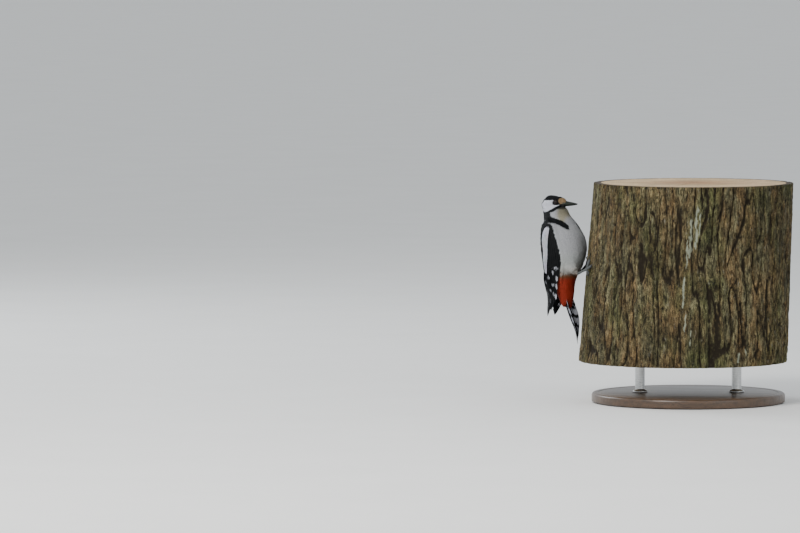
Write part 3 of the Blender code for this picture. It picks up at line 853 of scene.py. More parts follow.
# Outlines round the body, as degrees from the belly and heights above the tail's tip
BREAST_BAR = (
    (20, 175), (24, 177), (32, 179.8), (43, 182.3), (60, 184), (80, 187), (96, 186), (96, 178),
    (84, 177.8), (64, 176.9), (50, 174.4), (45, 173.1), (30, 169), (20, 168.5),
)
NECK_SPOT = (
    (108, 174), (113, 173.5), (120, 176), (119, 181), (109, 180),
)
MANTLE = (
    (80, 200), (81, 190), (83, 184), (85, 178), (87, 165), (96, 150), (110, 120), (118, 96), (122, 50),
    (190, 40), (190, 210),
)


def throat_stain(points):
    """How much the front of the throat is stained, from 0 to 1."""
    ahead, side, up = head_parts(points)
    front = step_up(ahead, 12.5, 19.5) * (1.0 - step_up(ahead, 24.0, 30.0))
    return 0.9 * front * step_up(17.5 - np.abs(side), 0.0, 4.0) * step_up(up, -33.0, -26.0)


def layered(base, layers):
    """A base colour under layers of (amount, colour), one over another."""
    for amount, colour in layers:
        base = blend(base, colour, np.clip(amount, 0.0, 1.0)[:, None])
    return base


def within(shape, x, y, soft, astray):
    """1 inside an outline and 0 outside it, its edge strayed and softened by so much."""
    return step_up(edge_distance(shape, x, y) + astray, -soft, soft)


def head_colour(points):
    """The head's markings at points: black crown, eye stripe and malar stripe, white cheek, buff forehead,
    and painted shade round and under the bill's base.
    """
    tones = colours()
    ahead, side, up = head_parts(points)
    side = np.abs(side)
    jitter = 0.28 * np.sin(points[:, 0] * 2.9 + points[:, 2] * 3.7) * np.cos(points[:, 1] * 3.1)
    # painted shade round the bill's base and under it, where the bill shades the face
    shade_under_bill = 0.9 * step_up(ahead + 0.4 * jitter, 11.0, 14.5) * step_up(up + jitter, -9.0, -7.2)
    crown = step_up(up + 0.25 * np.maximum(0.0, -6.0 - ahead) + jitter, 4.1, 4.5)
    nape = (ahead < 2) & ((side < 7.4 + 0.5 * jitter) | (ahead < -14.5)) & (up > -30)
    cheek = np.minimum(edge_distance(CHEEK, ahead, up), np.where(ahead < 2, side - 7.4, 9.0))
    brow = np.exp(-((ahead - 6.4) / 1.5) ** 4 - ((up - 3.6) / 0.75) ** 4)
    front = np.minimum(edge_distance(FOREHEAD, ahead, up), 7.6 + 1.8 * step_up(ahead, 17.5, 19.5) - up)
    lores = step_up(ahead, 17.0, 19.0) * step_up(-up, 0.6, 1.4) * step_up(up, -6.4, -5.2)
    return layered(tones.throat, (
        (throat_stain(points), tones.throat_stain),
        (shade_under_bill, tones.shade_under_bill),
        (crown, tones.black),
        (nape.astype(float), tones.black),
        (step_up(cheek + jitter, -0.3, 0.3), tones.white),
        (within(MALAR, ahead, up, 0.3, jitter), tones.black),
        (within(EYE_PATCH, ahead, up, 0.25, 0.5 * jitter), tones.black),
        (0.85 * brow, tones.white),
        (step_up(front + jitter, -0.3, 0.4), tones.buff),
        (lores, tones.lores),
    ))


def body_colour(points):
    """The markings of the neck, breast, belly, vent and back at points, with painted shade round the legs and
    on the side that faces the trunk.
    """
    tones = colours()
    height, angle, _ = body_place(points)
    round_to = np.abs(angle)
    jitter = 0.5 * np.sin(points[:, 0] * 1.9 + points[:, 2] * 2.3) * np.cos(points[:, 1] * 2.1 + height)
    chest = step_up(height, 168.0, 184.0)[:, None]
    out = blend(tones.belly, tones.breast, step_up(height, 104.0, 150.0)[:, None])
    out = out * (1 - 0.6 * chest) + np.array(tones.throat) * 0.6 * chest
    # painted shade: darker round the legs on the side towards the trunk, and on the belly's side that faces
    # the trunk below the breast, where the trunk shades the bird
    painted_shade = step_up(9.0 - leg_place(points)[0], 0.0, 5.0) * step_up(points[:, 0], -176.0, -166.0)
    facing = step_up(30.0 - round_to, 0.0, 40.0) * (1 - step_up(height, 150.0, 172.0))
    over = 99.0 - 0.22 * np.maximum(0.0, round_to - 62.0) + 2.4 * jitter
    under = round_to < 125
    return layered(out, (
        (throat_stain(points), tones.throat_stain),
        (np.maximum(0.5 * painted_shade, 0.5 * facing), tones.painted_shade),
        (0.28 * step_up(over + 24.0 - height, 0.0, 16.0) * under, tones.vent_edge),
        (step_up(over + 6.0 - height, -2.5, 3.5) * under, tones.vent_edge),
        (step_up(over - height, -3.0, 3.0) * under, tones.vent),
        (within(BREAST_BAR, round_to, height, 0.5, jitter), tones.black),
        (within(MANTLE, round_to, height, 0.6, jitter), tones.black),
        (within(NECK_SPOT, round_to, height, 0.5, jitter), tones.white),
    ))


def plumage_colour(points):
    """The bird's markings at points in the frame, in millimetres, with painted shade under the bill, round
    the legs and on the side that faces the trunk.
    """
    head = step_up(points[:, 2] - BIRD_FLOOR, 190.5, 192.0)[:, None]
    return blend(body_colour(points), head_colour(points), head)


def coat_depth(points):
    """How deep the plumage lies over the skin: least round the bill and eyes, most on the belly."""
    height = points[:, 2] - BIRD_FLOOR
    ahead, _, _ = head_parts(points)
    gap, _ = eye_parts(points)
    face = 0.6 + 0.7 * step_up(-ahead, -16.0, -2.0)
    face = np.minimum(face, 0.35 + 0.5 * step_up(gap, 3.4, 7.0) + 0.6 * step_up(-ahead, -9.0, 0.0))
    body = 2.4 - 0.6 * step_up(height, 176.0, 190.0)
    body = body - 1.0 * step_up(points[:, 0], -172.0, -164.0) * step_up(120.0 - height, 0.0, 8.0)
    body = np.minimum(body, 0.7 + 0.1 * np.maximum(0.0, height - 55.0))
    return blend(body, face, step_up(height, 186.0, 196.0))


# ---- Skin, eyes and bill


def plumage_skin_finish():
    """The skin under the feathers, which carries the same markings and painted shade."""
    mix = Finish("Feathered Skin")
    fine = mix.grain(1400.0, 4.0, (1.0, 1.0, 0.35), 0.6)
    tone = mix.shaded(mix.attribute("MarkingsAndShade", "Color"), fine, 0.3, 0.7, 0.6, 0.95)
    mix.paint(tone, 0.85, 0.2)
    mix.bump(fine, 0.0004, 0.8)
    return mix.material


def mesh_points(obj):
    return read_off(obj.data.vertices, "co", 3).astype(float) / MM


def mesh_normals(obj):
    return read_off(obj.data.vertex_normals, "vector", 3).astype(float)


def place_points(obj, points):
    obj.data.vertices.foreach_set("co", (points * MM).astype(np.float32).ravel())
    obj.data.update()


def eye_place(side):
    """An eye's middle and the direction it looks in."""
    ahead, out, up = GAZE
    gaze = unit(forward(HEAD_TURN) * ahead + rightward(HEAD_TURN) * side * out + UP * up)
    return head_place(EYE_PLACE[0], side * EYE_PLACE[1], EYE_PLACE[2])[0], gaze


def eye_parts(points):
    """How far points lie from the nearer eye's middle, and the degrees between them and its gaze."""
    gaps, tilts = [], []
    for side in (1, -1):
        centre, gaze = eye_place(side)
        away = points - centre
        gap = np.linalg.norm(away, axis=1)
        gaps.append(gap)
        tilts.append(np.degrees(np.arccos(np.clip(away @ gaze / np.maximum(gap, 1e-6), -1.0, 1.0))))
    nearer = gaps[0] < gaps[1]
    return np.where(nearer, *gaps), np.where(nearer, *tilts)


def make_lid(side):
    """A lid: a soft ring on the eyeball, slightly pointed before and behind, thick at its rim."""
    centre, gaze = eye_place(side)
    ahead = unit(forward(HEAD_TURN) - gaze * (forward(HEAD_TURN) @ gaze))
    up = np.cross(ahead, gaze) * side
    points = []
    for open_by, lift in LID_SECTION:
        for i in range(LID_ROUND):
            a = i / LID_ROUND * math.tau
            opening = math.radians(47.0 + 6.0 * abs(math.cos(a)) ** 3 - 3.0 * max(0.0, math.sin(a)))
            tilt = opening + open_by * LID_WIDTH
            reach = EYE_RADIUS + lift * (1.0 + 0.25 * math.sin(a) ** 2)
            out = gaze * math.cos(tilt) + (ahead * math.cos(a) + up * math.sin(a)) * math.sin(tilt)
            points.append(centre + out * reach)
    faces = grid_faces(len(LID_SECTION), LID_ROUND, closed=True)
    lid = mesh_piece("lid", np.array(points), [faces], plumage_skin_finish())
    face_outwards(lid)
    return lid


def clear_eyes(points):
    """Skin moved off the eyeballs: behind them in their sockets, and round them in front."""
    for side in (1, -1):
        centre, _ = eye_place(side)
        away = points - centre
        distance = np.linalg.norm(away, axis=1)
        reach = EYE_RADIUS + 0.12
        socket = reach - 1.1 * step_up(unit(away) @ (rightward(HEAD_TURN) * side), 0.45, 0.75)
        near = distance < EYE_RADIUS + EYE_ROOM
        draped = np.where(distance < reach, socket, distance)
        points[near] = centre + unit(away[near]) * draped[near][:, None]
    return points


def clear_bill(points):
    """Skin drawn in where it would run out over the bill."""
    ahead, side, up = head_parts(points)
    share = np.clip((ahead - BILL_START) / (BILL_TIP - BILL_START), 0.0, 1.0)
    (tall, wide), deep = smooth(BILL_UPPER, share).T, smooth(BILL_LOWER, share)[:, 0]
    over = up - BILL_LINE
    oval = np.hypot(over / (np.where(over > 0, tall, deep) + 0.15), side / (wide + 0.15))
    close = step_up(ahead, 20.0, 23.4) * (oval > 0.8) * (np.abs(over) < 9.0)
    pull = 1.0 + close * (0.8 / np.maximum(oval, 1e-6) - 1.0)
    return head_place(ahead, side * pull, BILL_LINE + over * pull)


def make_skin():
    """One skin over head, neck, body and thighs, drawn in under the plumage."""
    parts = []
    for name in FLESH:
        part = put(f"flesh_{name}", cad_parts[name].data.copy())
        mesh = bmesh.new()
        mesh.from_mesh(part.data)
        bmesh.ops.remove_doubles(mesh, verts=mesh.verts, dist=WELD)
        mesh.to_mesh(part.data)
        mesh.free()
        place_points(part, mesh_points(part) + mesh_normals(part) * SKIN_SPARE)
        parts.append(part)
    select_only(*parts)
    bpy.ops.object.join()
    skin = bpy.context.object
    skin.name = skin.data.name = "plumage_skin"
    apply_modifier(skin, "REMESH", mode="VOXEL", voxel_size=1.0 * MM, adaptivity=0.0)
    apply_modifier(skin, "SMOOTH", factor=0.5, iterations=7)
    points, normals = mesh_points(skin), mesh_normals(skin)
    ahead, _, up = head_parts(points)
    trim = 2.6 * step_up(-ahead, 3.0, 12.0) * step_up(up, -5.0, 3.0)
    trim = np.maximum(trim, 1.0 * step_up(up, 4.0, 9.0) * step_up(14.0 - ahead, 0.0, 4.0))
    place_points(skin, points - normals * (coat_depth(points) + trim + SKIN_SPARE)[:, None])
    apply_modifier(skin, "SMOOTH", factor=0.4, iterations=3)
    place_points(skin, clear_bill(clear_eyes(mesh_points(skin))))
    skin.data.materials.clear()
    skin.data.materials.append(plumage_skin_finish())
    select_only(skin, make_lid(1), make_lid(-1))
    bpy.ops.object.join()
    skin.data.shade_smooth()
    edit_all(skin, bpy.ops.uv.smart_project, angle_limit=math.radians(66.0), island_margin=0.003)
    skin.data.uv_layers[0].name = "OFBake"
    points = mesh_points(skin)
    gap, tilt = eye_parts(points)
    lid = (step_up(4.4 - gap, 0.0, 0.25) * step_up(70.0 - tilt, 0.0, 4.0))[:, None]
    tint(skin, "MarkingsAndShade", blend(plumage_colour(points), colours().lid, lid))
    return skin


def eye_finish():
    """A dark red-brown iris round a black pupil, under a clear wet coat."""
    mix = Finish("Eye Glass")
    iris = colours().iris
    gaze = mix.attribute("Gaze")
    base = mix.two_tones(mix.grain(2600.0, 3.0), 0.35, 0.65, iris, scaled(iris, 1.7))
    base = mix.mixed(mix.ranged(gaze, 0.29, 0.31, 1.0, 0.0), base, (0.002, 0.002, 0.002))
    base = mix.mixed(mix.ranged(gaze, 0.44, 0.54), base, (0.008, 0.007, 0.007))
    mix.paint(base, 0.2, 0.12, coat_weight=0.28, coat_roughness=0.03)
    return mix.material


def make_eye(side):
    """An eyeball with a raised cornea, turned the way the bird looks."""
    name = "right" if side > 0 else "left"
    centre, gaze = eye_place(side)
    gaze = Vector(gaze)
    turn = gaze.to_track_quat("Z", "Y").to_euler()
    bpy.ops.mesh.primitive_uv_sphere_add(segments=64, ring_count=40, radius=EYE_RADIUS * MM,
                                         location=centre * MM, rotation=turn)
    ball = bpy.context.object
    ball.name = ball.data.name = f"eyeball_{name}"
    settle(ball)
    points = mesh_points(ball)
    away = unit(points - centre)
    tilt = np.degrees(np.arccos(np.clip(away @ np.array(gaze), -1.0, 1.0)))
    bulge = 0.14 * (1 - step_up(tilt, 14.0, 34.0))
    place_points(ball, centre + away * (EYE_RADIUS + bulge - 0.02)[:, None])
    mark(ball, "Gaze", tilt / 90.0)
    ball.data.materials.append(eye_finish())
    ball.data.shade_smooth()
    return ball


def bill_finish():
    """Slate-grey horn with long streaks and fine worn mottling, darker towards the tip."""
    mix = Finish("Bill Horn")
    horn = colours().bill
    streaks = mix.grain(700.0, 4.0, (0.35, 0.35, 1.6), 0.6)
    worn = mix.grain(2200.0, 4.0)
    tone = mix.two_tones(streaks, 0.3, 0.7, scaled(horn, 0.62), scaled(horn, 1.3))
    tone = mix.shaded(tone, worn, 0.3, 0.7, 0.75, 1.2)
    towards_tip = mix.ranged(mix.attribute("Length"), 0.5, 0.95, 0.0, 0.6)
    tone = mix.mixed(towards_tip, tone, (0.014, 0.014, 0.014))
    mix.paint(tone, mix.ranged(streaks, 0.2, 0.8, 0.62, 0.48), 0.13)
    mix.bump(mix.mixed(0.4, streaks, worn), 0.00022, 0.7)
    return mix.material


def make_mandible(name, rows, side):
    """Half of the bill: a straight chisel with a ridge along its middle and a fine edge."""
    shares = np.concatenate([np.linspace(rows[0, 0], 0.9, 34), np.linspace(0.9, rows[-1, 0], 12)[1:]])
    arc = np.linspace(-0.5, 0.5, BILL_ARC) * math.pi
    points = []
    for share in shares:
        tall, wide = smooth(rows, share)[0]
        ahead = BILL_START + share * (BILL_TIP - BILL_START)
        blunt = math.sqrt(max(0.02, 1.0 - max(0.0, (share - rows[-1, 0] + 0.035) / 0.035) ** 2))
        tall, wide = tall * blunt, wide * blunt
        ridge = 1.0 - 0.14 * np.abs(np.sin(2 * arc)) ** 1.5 + 0.05 * np.exp(-(arc / 0.22) ** 2)
        groove = 0.12 * np.exp(-((np.abs(arc) - 0.62) / 0.12) ** 2) * (1 - step_up(share, 0.55, 0.8))
        up = tall * np.cos(arc) ** 0.9 * ridge - groove * (side > 0)
        up[0] = up[-1] = 0.0
        across = wide * np.sin(arc) * (1 - 0.02 * np.cos(arc))
        points.append(head_place(ahead, across, BILL_LINE + side * (0.12 + np.maximum(up, 0.0))))
        points.append(head_place(ahead, across[-2:0:-1] * 0.98, BILL_LINE + side * 0.06))
    rings, sides = len(shares), 2 * BILL_ARC - 2
    points = np.concatenate(points)
    ends = [points[:sides].mean(axis=0), points[-sides:].mean(axis=0) + forward(HEAD_TURN) * 0.05]
    faces = [grid_faces(rings, sides, closed=True), *end_fans(rings, sides)]
    half = mesh_piece(name, np.concatenate([points, ends]), faces, bill_finish())
    face_outwards(half)
    mark(half, "Length", np.concatenate([np.repeat(shares, sides), [0.0, 1.0]]))
    bpy.ops.object.shade_smooth_by_angle(angle=math.radians(40))
    return half


# ---- Legs


def foot_finish():
    """Blue-grey scaly skin of the legs and toes."""
    mix = Finish("Foot Skin")
    foot = colours().foot
    mottle = mix.grain(1500.0, 4.0)
    skin = mix.two_tones(mottle, 0.35, 0.65, scaled(foot, 0.65), scaled(foot, 1.35))
    skin = mix.mixed(mix.ranged(mix.attribute("Scute"), 0.05, 0.6, 0.9, 0.0), skin, scaled(foot, 0.15))
    mix.paint(skin, 0.55, 0.3)
    mix.bump(mottle, 0.00015, 0.7)
    return mix.material


def claw_finish():
    """Dark grey horn, paler where it leaves the toe."""
    mix = Finish("Claw Horn")
    claw = colours().claw
    streaks = mix.grain(1800.0, 3.0, (0.5, 0.5, 0.5))
    horn = mix.two_tones(mix.attribute("Length"), 0.0, 0.5, scaled(claw, 2.2), claw)
    horn = mix.shaded(horn, streaks, 0.3, 0.7, 0.7, 1.1)
    mix.paint(horn, 0.35, 0.4)
    mix.bump(streaks, 0.00006, 0.5)
    return mix.material


def tube_rings(path, girths, levels, sides, squeeze=1.0):
    """Rings of points round a smooth path, their middles, and each point's direction out."""
    knots = np.linspace(0.0, 1.0, len(path))
    line = np.column_stack([knots, np.array(path, float)])
    girth = np.column_stack([np.linspace(0.0, 1.0, len(girths)), np.array(girths, float)])
    shares = np.linspace(0.0, 1.0, levels)
    middles = smooth(line, shares)
    heading = unit(np.gradient(middles, axis=0))
    side = np.cross(heading[0], (0.3, 0.2, 1.0))
    rings = []
    for middle, ahead, share in zip(middles, heading, shares):
        side = unit(side - ahead * (side @ ahead))
        other = np.cross(ahead, side)
        radius = smooth(girth, share)[0][0]
        a = np.arange(sides) / sides * math.tau
        turned = side * np.cos(a)[:, None] * squeeze + other * np.sin(a)[:, None]
        rings.append(raised(middle + turned * radius))
    return np.array(rings), raised(middles)


def closed_tube(name, rings, middles, finish, tips):
    """A tube closed at both ends by a blunt point."""
    levels, sides = rings.shape[:2]
    ends = [last + unit(last - before) * tip
            for last, before, tip in ((*middles[:2], tips[0]), (middles[-1], middles[-2], tips[1]))]
    faces = [grid_faces(levels, sides, closed=True), *end_fans(levels, sides)]
    made = mesh_piece(name, np.concatenate([rings.reshape(-1, 3), ends]), faces, finish)
    face_outwards(made)
    return made


def toe_point(side, heading, along, lift):
    """A point over the bark, so far from the foot's middle on a heading."""
    outer = 1 if side == "right" else -1
    a = math.radians(heading)
    angle, height = FEET[side]
    round_trunk = math.degrees(outer * along * math.sin(a) / TRUNK_RADIUS)
    return bark_point(angle + round_trunk, height + along * math.cos(a), lift)


def toe_rest(toe):
    return TOES[toe][2] * 0.9 + REST_GAP


def scuted(name, path, girths, levels, scutes, flat=1.0):
    """A scaly tube: each scute swells from under the one before it."""
    rings, middles = tube_rings(path, girths, levels, LEG_SIDES, flat)
    share = np.linspace(0.0, 1.0, levels)
    step = (share * scutes) % 1.0
    swell = 0.89 + 0.14 * step_up(step, 0.0, 0.3) * (1 - 0.5 * step_up(step, 0.5, 1.0))
    joint = 1.0 + 0.07 * np.sin(share * 3 * math.tau / 2) ** 2
    rings = middles[:, None] + (rings - middles[:, None]) * (swell * joint)[:, None, None]
    made = closed_tube(name, rings, middles, foot_finish(), (0.2, 0.5))
    mark(made, "Scute", np.concatenate([np.repeat(step_up(step, 0.0, 0.4), LEG_SIDES), [1.0, 1.0]]))
    return made


def make_foot(side):
    hub, heel = bark_point(*FEET[side], FOOT_LIFT), np.array(HEELS[side])
    knee = np.array(HIPS[side]) * (1 - KNEE_SHARE) + heel * KNEE_SHARE + UP * KNEE_RISE
    path = [heel + unit(knee - heel) * SHANK, heel, (heel + hub) / 2, hub]
    girths = (TARSUS_GIRTH[0], *TARSUS_GIRTH)
    parts = [scuted(f"scaly_foot_{side}", path, girths, TARSUS_RINGS, TARSUS_SCUTES, TARSUS_FLAT)]
    for toe, (heading, length, girth, _) in TOES.items():
        rest = toe_rest(toe)
        lifts = (FOOT_LIFT, (FOOT_LIFT + rest) / 2 + TOE_BEND, rest + TOE_BEND, rest)
        steps = (-TOE_ROOT, length / 3, length * 2 / 3, length)
        path = [toe_point(side, heading, along, lift) for along, lift in zip(steps, lifts)]
        girths = (girth * 1.2, girth, girth, girth * TOE_TIP)
        parts.append(scuted(f"scaly_{toe}_{side}", path, girths, TOE_RINGS, TOE_SCUTES))
    select_only(*parts)
    bpy.ops.object.join()
    return bpy.context.object


def make_claw(side, toe):
    heading, length, _, claw = TOES[toe]
    start, rest = length + CLAW_START - 1.4, toe_rest(toe)
    path = [toe_point(side, heading, start + claw * along, rest + rise)
            for along, rise in ((-0.05, 0.1), *CLAW_CURVE)]
    girths = (CLAW_GIRTH * 0.85, CLAW_GIRTH, CLAW_GIRTH * 0.95, CLAW_GIRTH * 0.6, 0.16)
    rings, middles = tube_rings(path, girths, CLAW_RINGS, CLAW_SIDES, CLAW_FLAT)
    made = closed_tube(f"hooked_claw_{side}_{toe}", rings, middles, claw_finish(), (0.2, 0.12))
    mark(made, "Length", np.concatenate([np.repeat(np.linspace(0, 1, CLAW_RINGS), CLAW_SIDES), [0.0, 1.0]]))
    return made


# ---- Flight feathers


def vane_finish():
    """Flight feathers: fine slanting barbs on each side of a shaft, glossy where they are black."""
    mix = Finish("Flight Feather")
    tone = mix.attribute("Tint", "Color")
    place = mix.node("ShaderNodeUVMap", uv_map="Vane").outputs["UV"]
    split = mix.node("ShaderNodeSeparateXYZ", [("Vector", place)])
    across = mix.calculated("ABSOLUTE", split.outputs["X"])
    slant = mix.calculated("MULTIPLY_ADD", across, -1.1, split.outputs["Y"])
    barbs = mix.calculated("SINE", mix.calculated("MULTIPLY", slant, 14.0))
    barred_tone = mix.shaded(tone, barbs, 0.0, 0.8, 0.78, 1.06)
    mix.paint(barred_tone, mix.feather_gloss(tone, 0.45, 0.78), 0.12)
    mix.bump(barbs, 0.00006, 0.5)
    return mix.material


def wing_row(side, height):
    """A wing's front and back edge in degrees, least radius and thickness, at a height."""
    front, back, least, thick = smooth(WING, height).T
    if side < 0:
        high, low, edge = TUCK
        swing = step_up(high - np.asarray(height, float), 0.0, high - low)
        front = front + np.maximum(0.0, edge - front) * swing
    return front, back, least, thick


def wing_surface(side, height, angle, layer):
    """Points of a wing: layer 0 lies on the body and 1 on the outside of the feathers."""
    height = np.clip(height, WING[-1, 0], WING[0, 0])
    front, back, least, thick = wing_row(side, height)
    share = np.clip((angle - front) / np.maximum(back - front, 1.0), 0.0, 1.0)
    under = np.maximum(girth_radius(height, angle), least) + WING_CLEARANCE
    rounding = np.sqrt(np.clip(1.0 - (2 * share - 1) ** 4, 0.0, 1.0))
    tucked = 0.35 + 0.65 * np.maximum(step_up(share, 0.02, 0.24), 1 - step_up(height, 84.0, 112.0))
    return under + WING_EDGE * 0.9 + (thick - WING_EDGE) * rounding * layer * tucked


class Feathers:
    """Collects feathers of one piece: their points, faces, colours and places on its maps."""

    def __init__(self, name):
        self.name = name
        self.points, self.faces, self.tints, self.vanes = [], [], [], []
        self.count = 0

    def add(self, grid, tints, vane, out, thick=0.12):
        """A vane from a grid of points, given an underside a little way in along -out."""
        rows, columns = grid.shape[:2]
        size = rows * columns
        top = grid.reshape(-1, 3)
        under = top - out.reshape(-1, 3) * thick
        faces = grid_faces(rows, columns)
        edge = np.concatenate([np.arange(columns), np.arange(1, rows) * columns + columns - 1,
                               (rows - 1) * columns + np.arange(columns - 2, -1, -1),
                               np.arange(rows - 2, 0, -1) * columns])
        after = np.roll(edge, -1)
        walls = np.stack([after, edge, edge + size, after + size], axis=1)
        self.points.append(np.concatenate([top, under]))
        self.faces.append(np.concatenate([faces, faces[:, ::-1] + size, walls]) + self.count)
        self.tints.append(np.concatenate([tints.reshape(-1, 3), tints.reshape(-1, 3) * 0.8]))
        self.vanes.append(vane.reshape(-1, 2))
        self.count += 2 * size

    def piece(self, finish):
        made = mesh_piece(self.name, np.concatenate(self.points), [np.concatenate(self.faces)], finish)
        lay_out(made, "Vane", np.concatenate([vane for vane in self.vanes for _ in range(2)]))
        cells = len(self.vanes) * 2
        across = math.ceil(math.sqrt(cells * 3.0))
        down = math.ceil(cells / across)
        places = []
        for i, vane in enumerate(self.vanes):
            low, high = vane.min(axis=0), vane.max(axis=0)
            flat = (vane - low) / np.maximum(high - low, 1e-6) * 0.9 + 0.05
            for k in (2 * i, 2 * i + 1):
                places.append((flat + (k % across, k // across)) / (across, down))
        lay_out(made, "OFBake", np.concatenate(places))
        made.data.uv_layers["OFBake"].active_render = True
        tint(made, "Tint", np.concatenate(self.tints))
        return made


def feather_outline(t, point):
    """Half width of a feather from its root to its tip, 1 at its broadest."""
    rise = 0.45 + 0.55 * step_up(t, 0.0, 0.3)
    fall = np.sqrt(np.clip(1.0 - step_up(t, 1.0 - point, 1.0 + 1e-6) ** 1.6, 0.0, 1.0))
    return rise * np.maximum(fall, 0.02)


def lay_vane(feathers, frames, length, wide, marking, seed, point, cup, columns, outer):
    """Lays one feather along rows of frames (middle, across, out), each in millimetres.

    outer is the share of its width on the side that across points away from."""
    middle, across, out = frames
    rows = len(middle)
    t = np.linspace(0.0, 1.0, rows)
    random = np.random.default_rng(seed)
    s = np.linspace(-1.0, 1.0, columns)
    half = wide * feather_outline(t, point)
    ragged = 1.0 + 0.05 * np.cumsum(random.normal(0, 0.35, (rows, 2)), axis=0) * 0.3
    away, towards = s[None] * outer * 2 * ragged[:, :1], s[None] * (1 - outer) * 2 * ragged[:, 1:]
    reach = np.where(s[None] < 0, away, towards)
    sideways = half[:, None] * reach
    rise = -cup * (s[None] ** 2) * half[:, None] * 0.5 + 0.11 * np.exp(-((s[None] / 0.16) ** 2))
    grid = middle[:, None] + across[:, None] * sideways[..., None] + out[:, None] * rise[..., None]
    tints = marking(t[:, None] * np.ones_like(reach), np.ones_like(t)[:, None] * s[None])
    tints = tints * (1.0 + 0.06 * random.normal())
    vane = np.stack([sideways, t[:, None] * length * np.ones_like(reach)], axis=-1)
    feathers.add(grid, np.clip(tints, 0.0, 1.0), vane, np.broadcast_to(out[:, None], grid.shape))


def wing_frames(side, rows, top, tip, start, end, layer_root, layer_tip):
    """Frames down a wing from one height and angle to another, on the layers given."""
    t = np.linspace(0.0, 1.0, rows)
    height = top + (tip - top) * t
    angle = start + (end - start) * t
    layer = layer_root + (layer_tip - layer_root) * t

    def place(height, angle):
        return round_body(height, side * angle, wing_surface(side, height, angle, layer))

    middle = place(height, angle)
    beside = place(height, angle + 1.5)
    above = place(np.minimum(height + 1.0, WING[0, 0]), angle)
    below = place(np.maximum(height - 1.0, WING[-1, 0]), angle)
    across = unit(beside - middle)
    out = unit(np.cross(across, above - below)) * side
    return middle, across, out


def spotted(heights, angles, wide, base, white, random):
    """A black feather with a white spot wherever it crosses one of the wing's spots."""
    astray = random.normal(0.0, 0.7, 2)

    def marking(t, s):
        height = heights[0] + (heights[1] - heights[0]) * t + astray[0]
        angle = angles[0] + (angles[1] - angles[0]) * t + astray[1] + 2.2 * wide * s
        inside = np.full(t.shape, -1.0)
        for middle, level, broad, tall in WING_SPOTS:
            away = np.hypot((angle - middle) / (0.86 * broad), (height - level) / (0.95 * tall))
            inside = np.maximum(inside, 1.0 - away + 0.12 * np.sin(height * 2.3 + s * 3.0))
        amount = (step_up(inside, -0.02, 0.16) * (1.0 - 0.8 * step_up(s, 0.35, 0.6)))[..., None]
        return blend(base, white, amount)
    return marking


def plain(colour):
    return lambda t, s: np.ones(t.shape + (3,)) * np.array(colour)


WING_SPOTS = (  # degrees from the belly, height, half breadth in degrees, half length
    (78.5, 111.6, 6.5, 2.8), (80.5, 96.4, 4.4, 4.4), (85, 84.6, 4, 5), (94.5, 70.3, 4.4, 4.6),
    (91, 105.8, 4.2, 3.6), (97, 87.7, 5, 2.8), (102, 74, 2.8, 3.2), (111.5, 97.9, 5.5, 2.7),
    (113, 79.8, 4.2, 2.5), (128, 91, 5.5, 2.6), (129, 75, 5, 2.4), (144, 84, 5.5, 2.4), (120, 64, 4, 2.4),
    (138, 57, 3.4, 2.2),
)
PRIMARIES = (  # tip's height, angle at the wrist and at the tip as shares of the wing's width there
    (61.5, 0.075, 0.11), (50.5, 0.095, 0.13), (43.5, 0.11, 0.25), (41.6, 0.16, 0.45), (44.5, 0.21, 0.62),
    (50.5, 0.27, 0.72), (56.5, 0.33, 0.80), (60.5, 0.39, 0.86), (63.5, 0.44, 0.90),
)
SECONDARIES = [(67.5 + 1.5 * i, 0.36 + 0.052 * i - 0.06, 0.36 + 0.052 * i) for i in range(10)]
TERTIALS = [(tip, share - 0.1, share - 0.02) for tip, share in ((73.0, 0.86), (80.0, 0.90), (88.0, 0.93))]
# Top, points along a vane, how far over the tip its angle is taken, how far across it spots reach,
# half width, first seed, shape (point, cup, columns, outer), layers at root and tip and their steps, quills
FLIGHT = (
    (118.0, 56, 1.0, 3.4, 4.2, 100, (0.16, 0.2, 9, 0.36), (0.02, 0.03, 0.25, 0.05), PRIMARIES),
    (122.0, 44, 0.0, 3.7, 4.6, 200, (0.14, 0.25, 9, 0.4), (0.3, 0.03, 0.5, 0.035), SECONDARIES),
    (128.0, 36, 0.0, 4.0, 4.8, 300, (0.2, 0.3, 7, 0.45), (0.75, 0.0, 0.92, 0.03), TERTIALS),
)
COVERTS = (  # tip's height, length, half width, count, first and last share of the wing's width
    (111, 22, 3.9, 12, 0.10, 0.90), (123, 17, 3.4, 12, 0.09, 0.90), (133, 14, 3.1, 12, 0.085, 0.92),
    (142, 12, 2.9, 12, 0.08, 0.93), (150, 11, 2.7, 12, 0.08, 0.93), (157.5, 10, 2.6, 12, 0.08, 0.93),
    (164, 9.5, 2.5, 11, 0.085, 0.92), (169.5, 8.5, 2.3, 10, 0.09, 0.9), (174, 7.5, 2.1, 8, 0.12, 0.88),
    (177.5, 6, 1.9, 5, 0.2, 0.8),
)
SHOULDER = np.array([  # the white patch: height, middle and half breadth in degrees
    (172, 88, 4), (165, 95, 9.5), (157, 102, 12), (149, 105, 11), (140, 106, 8.5), (132, 108, 7.5),
    (118, 119, 8.5), (103, 124, 6.5),
])


COVERT_STEPS = 14  # points along a covert
COVERT_HIGH = 181.5  # over which no covert starts
COVERT_SHAPE = (0.5, 0.3, 5, 0.5)  # point, cup, columns, outer
PATCH_ROWS = np.arange(172.0, 113.0, -4.6)  # heights of the white patch's rows
PATCH_LENGTH = 12.5
PATCH_SHAPE = (0.6, 0.2, 5, 0.5)


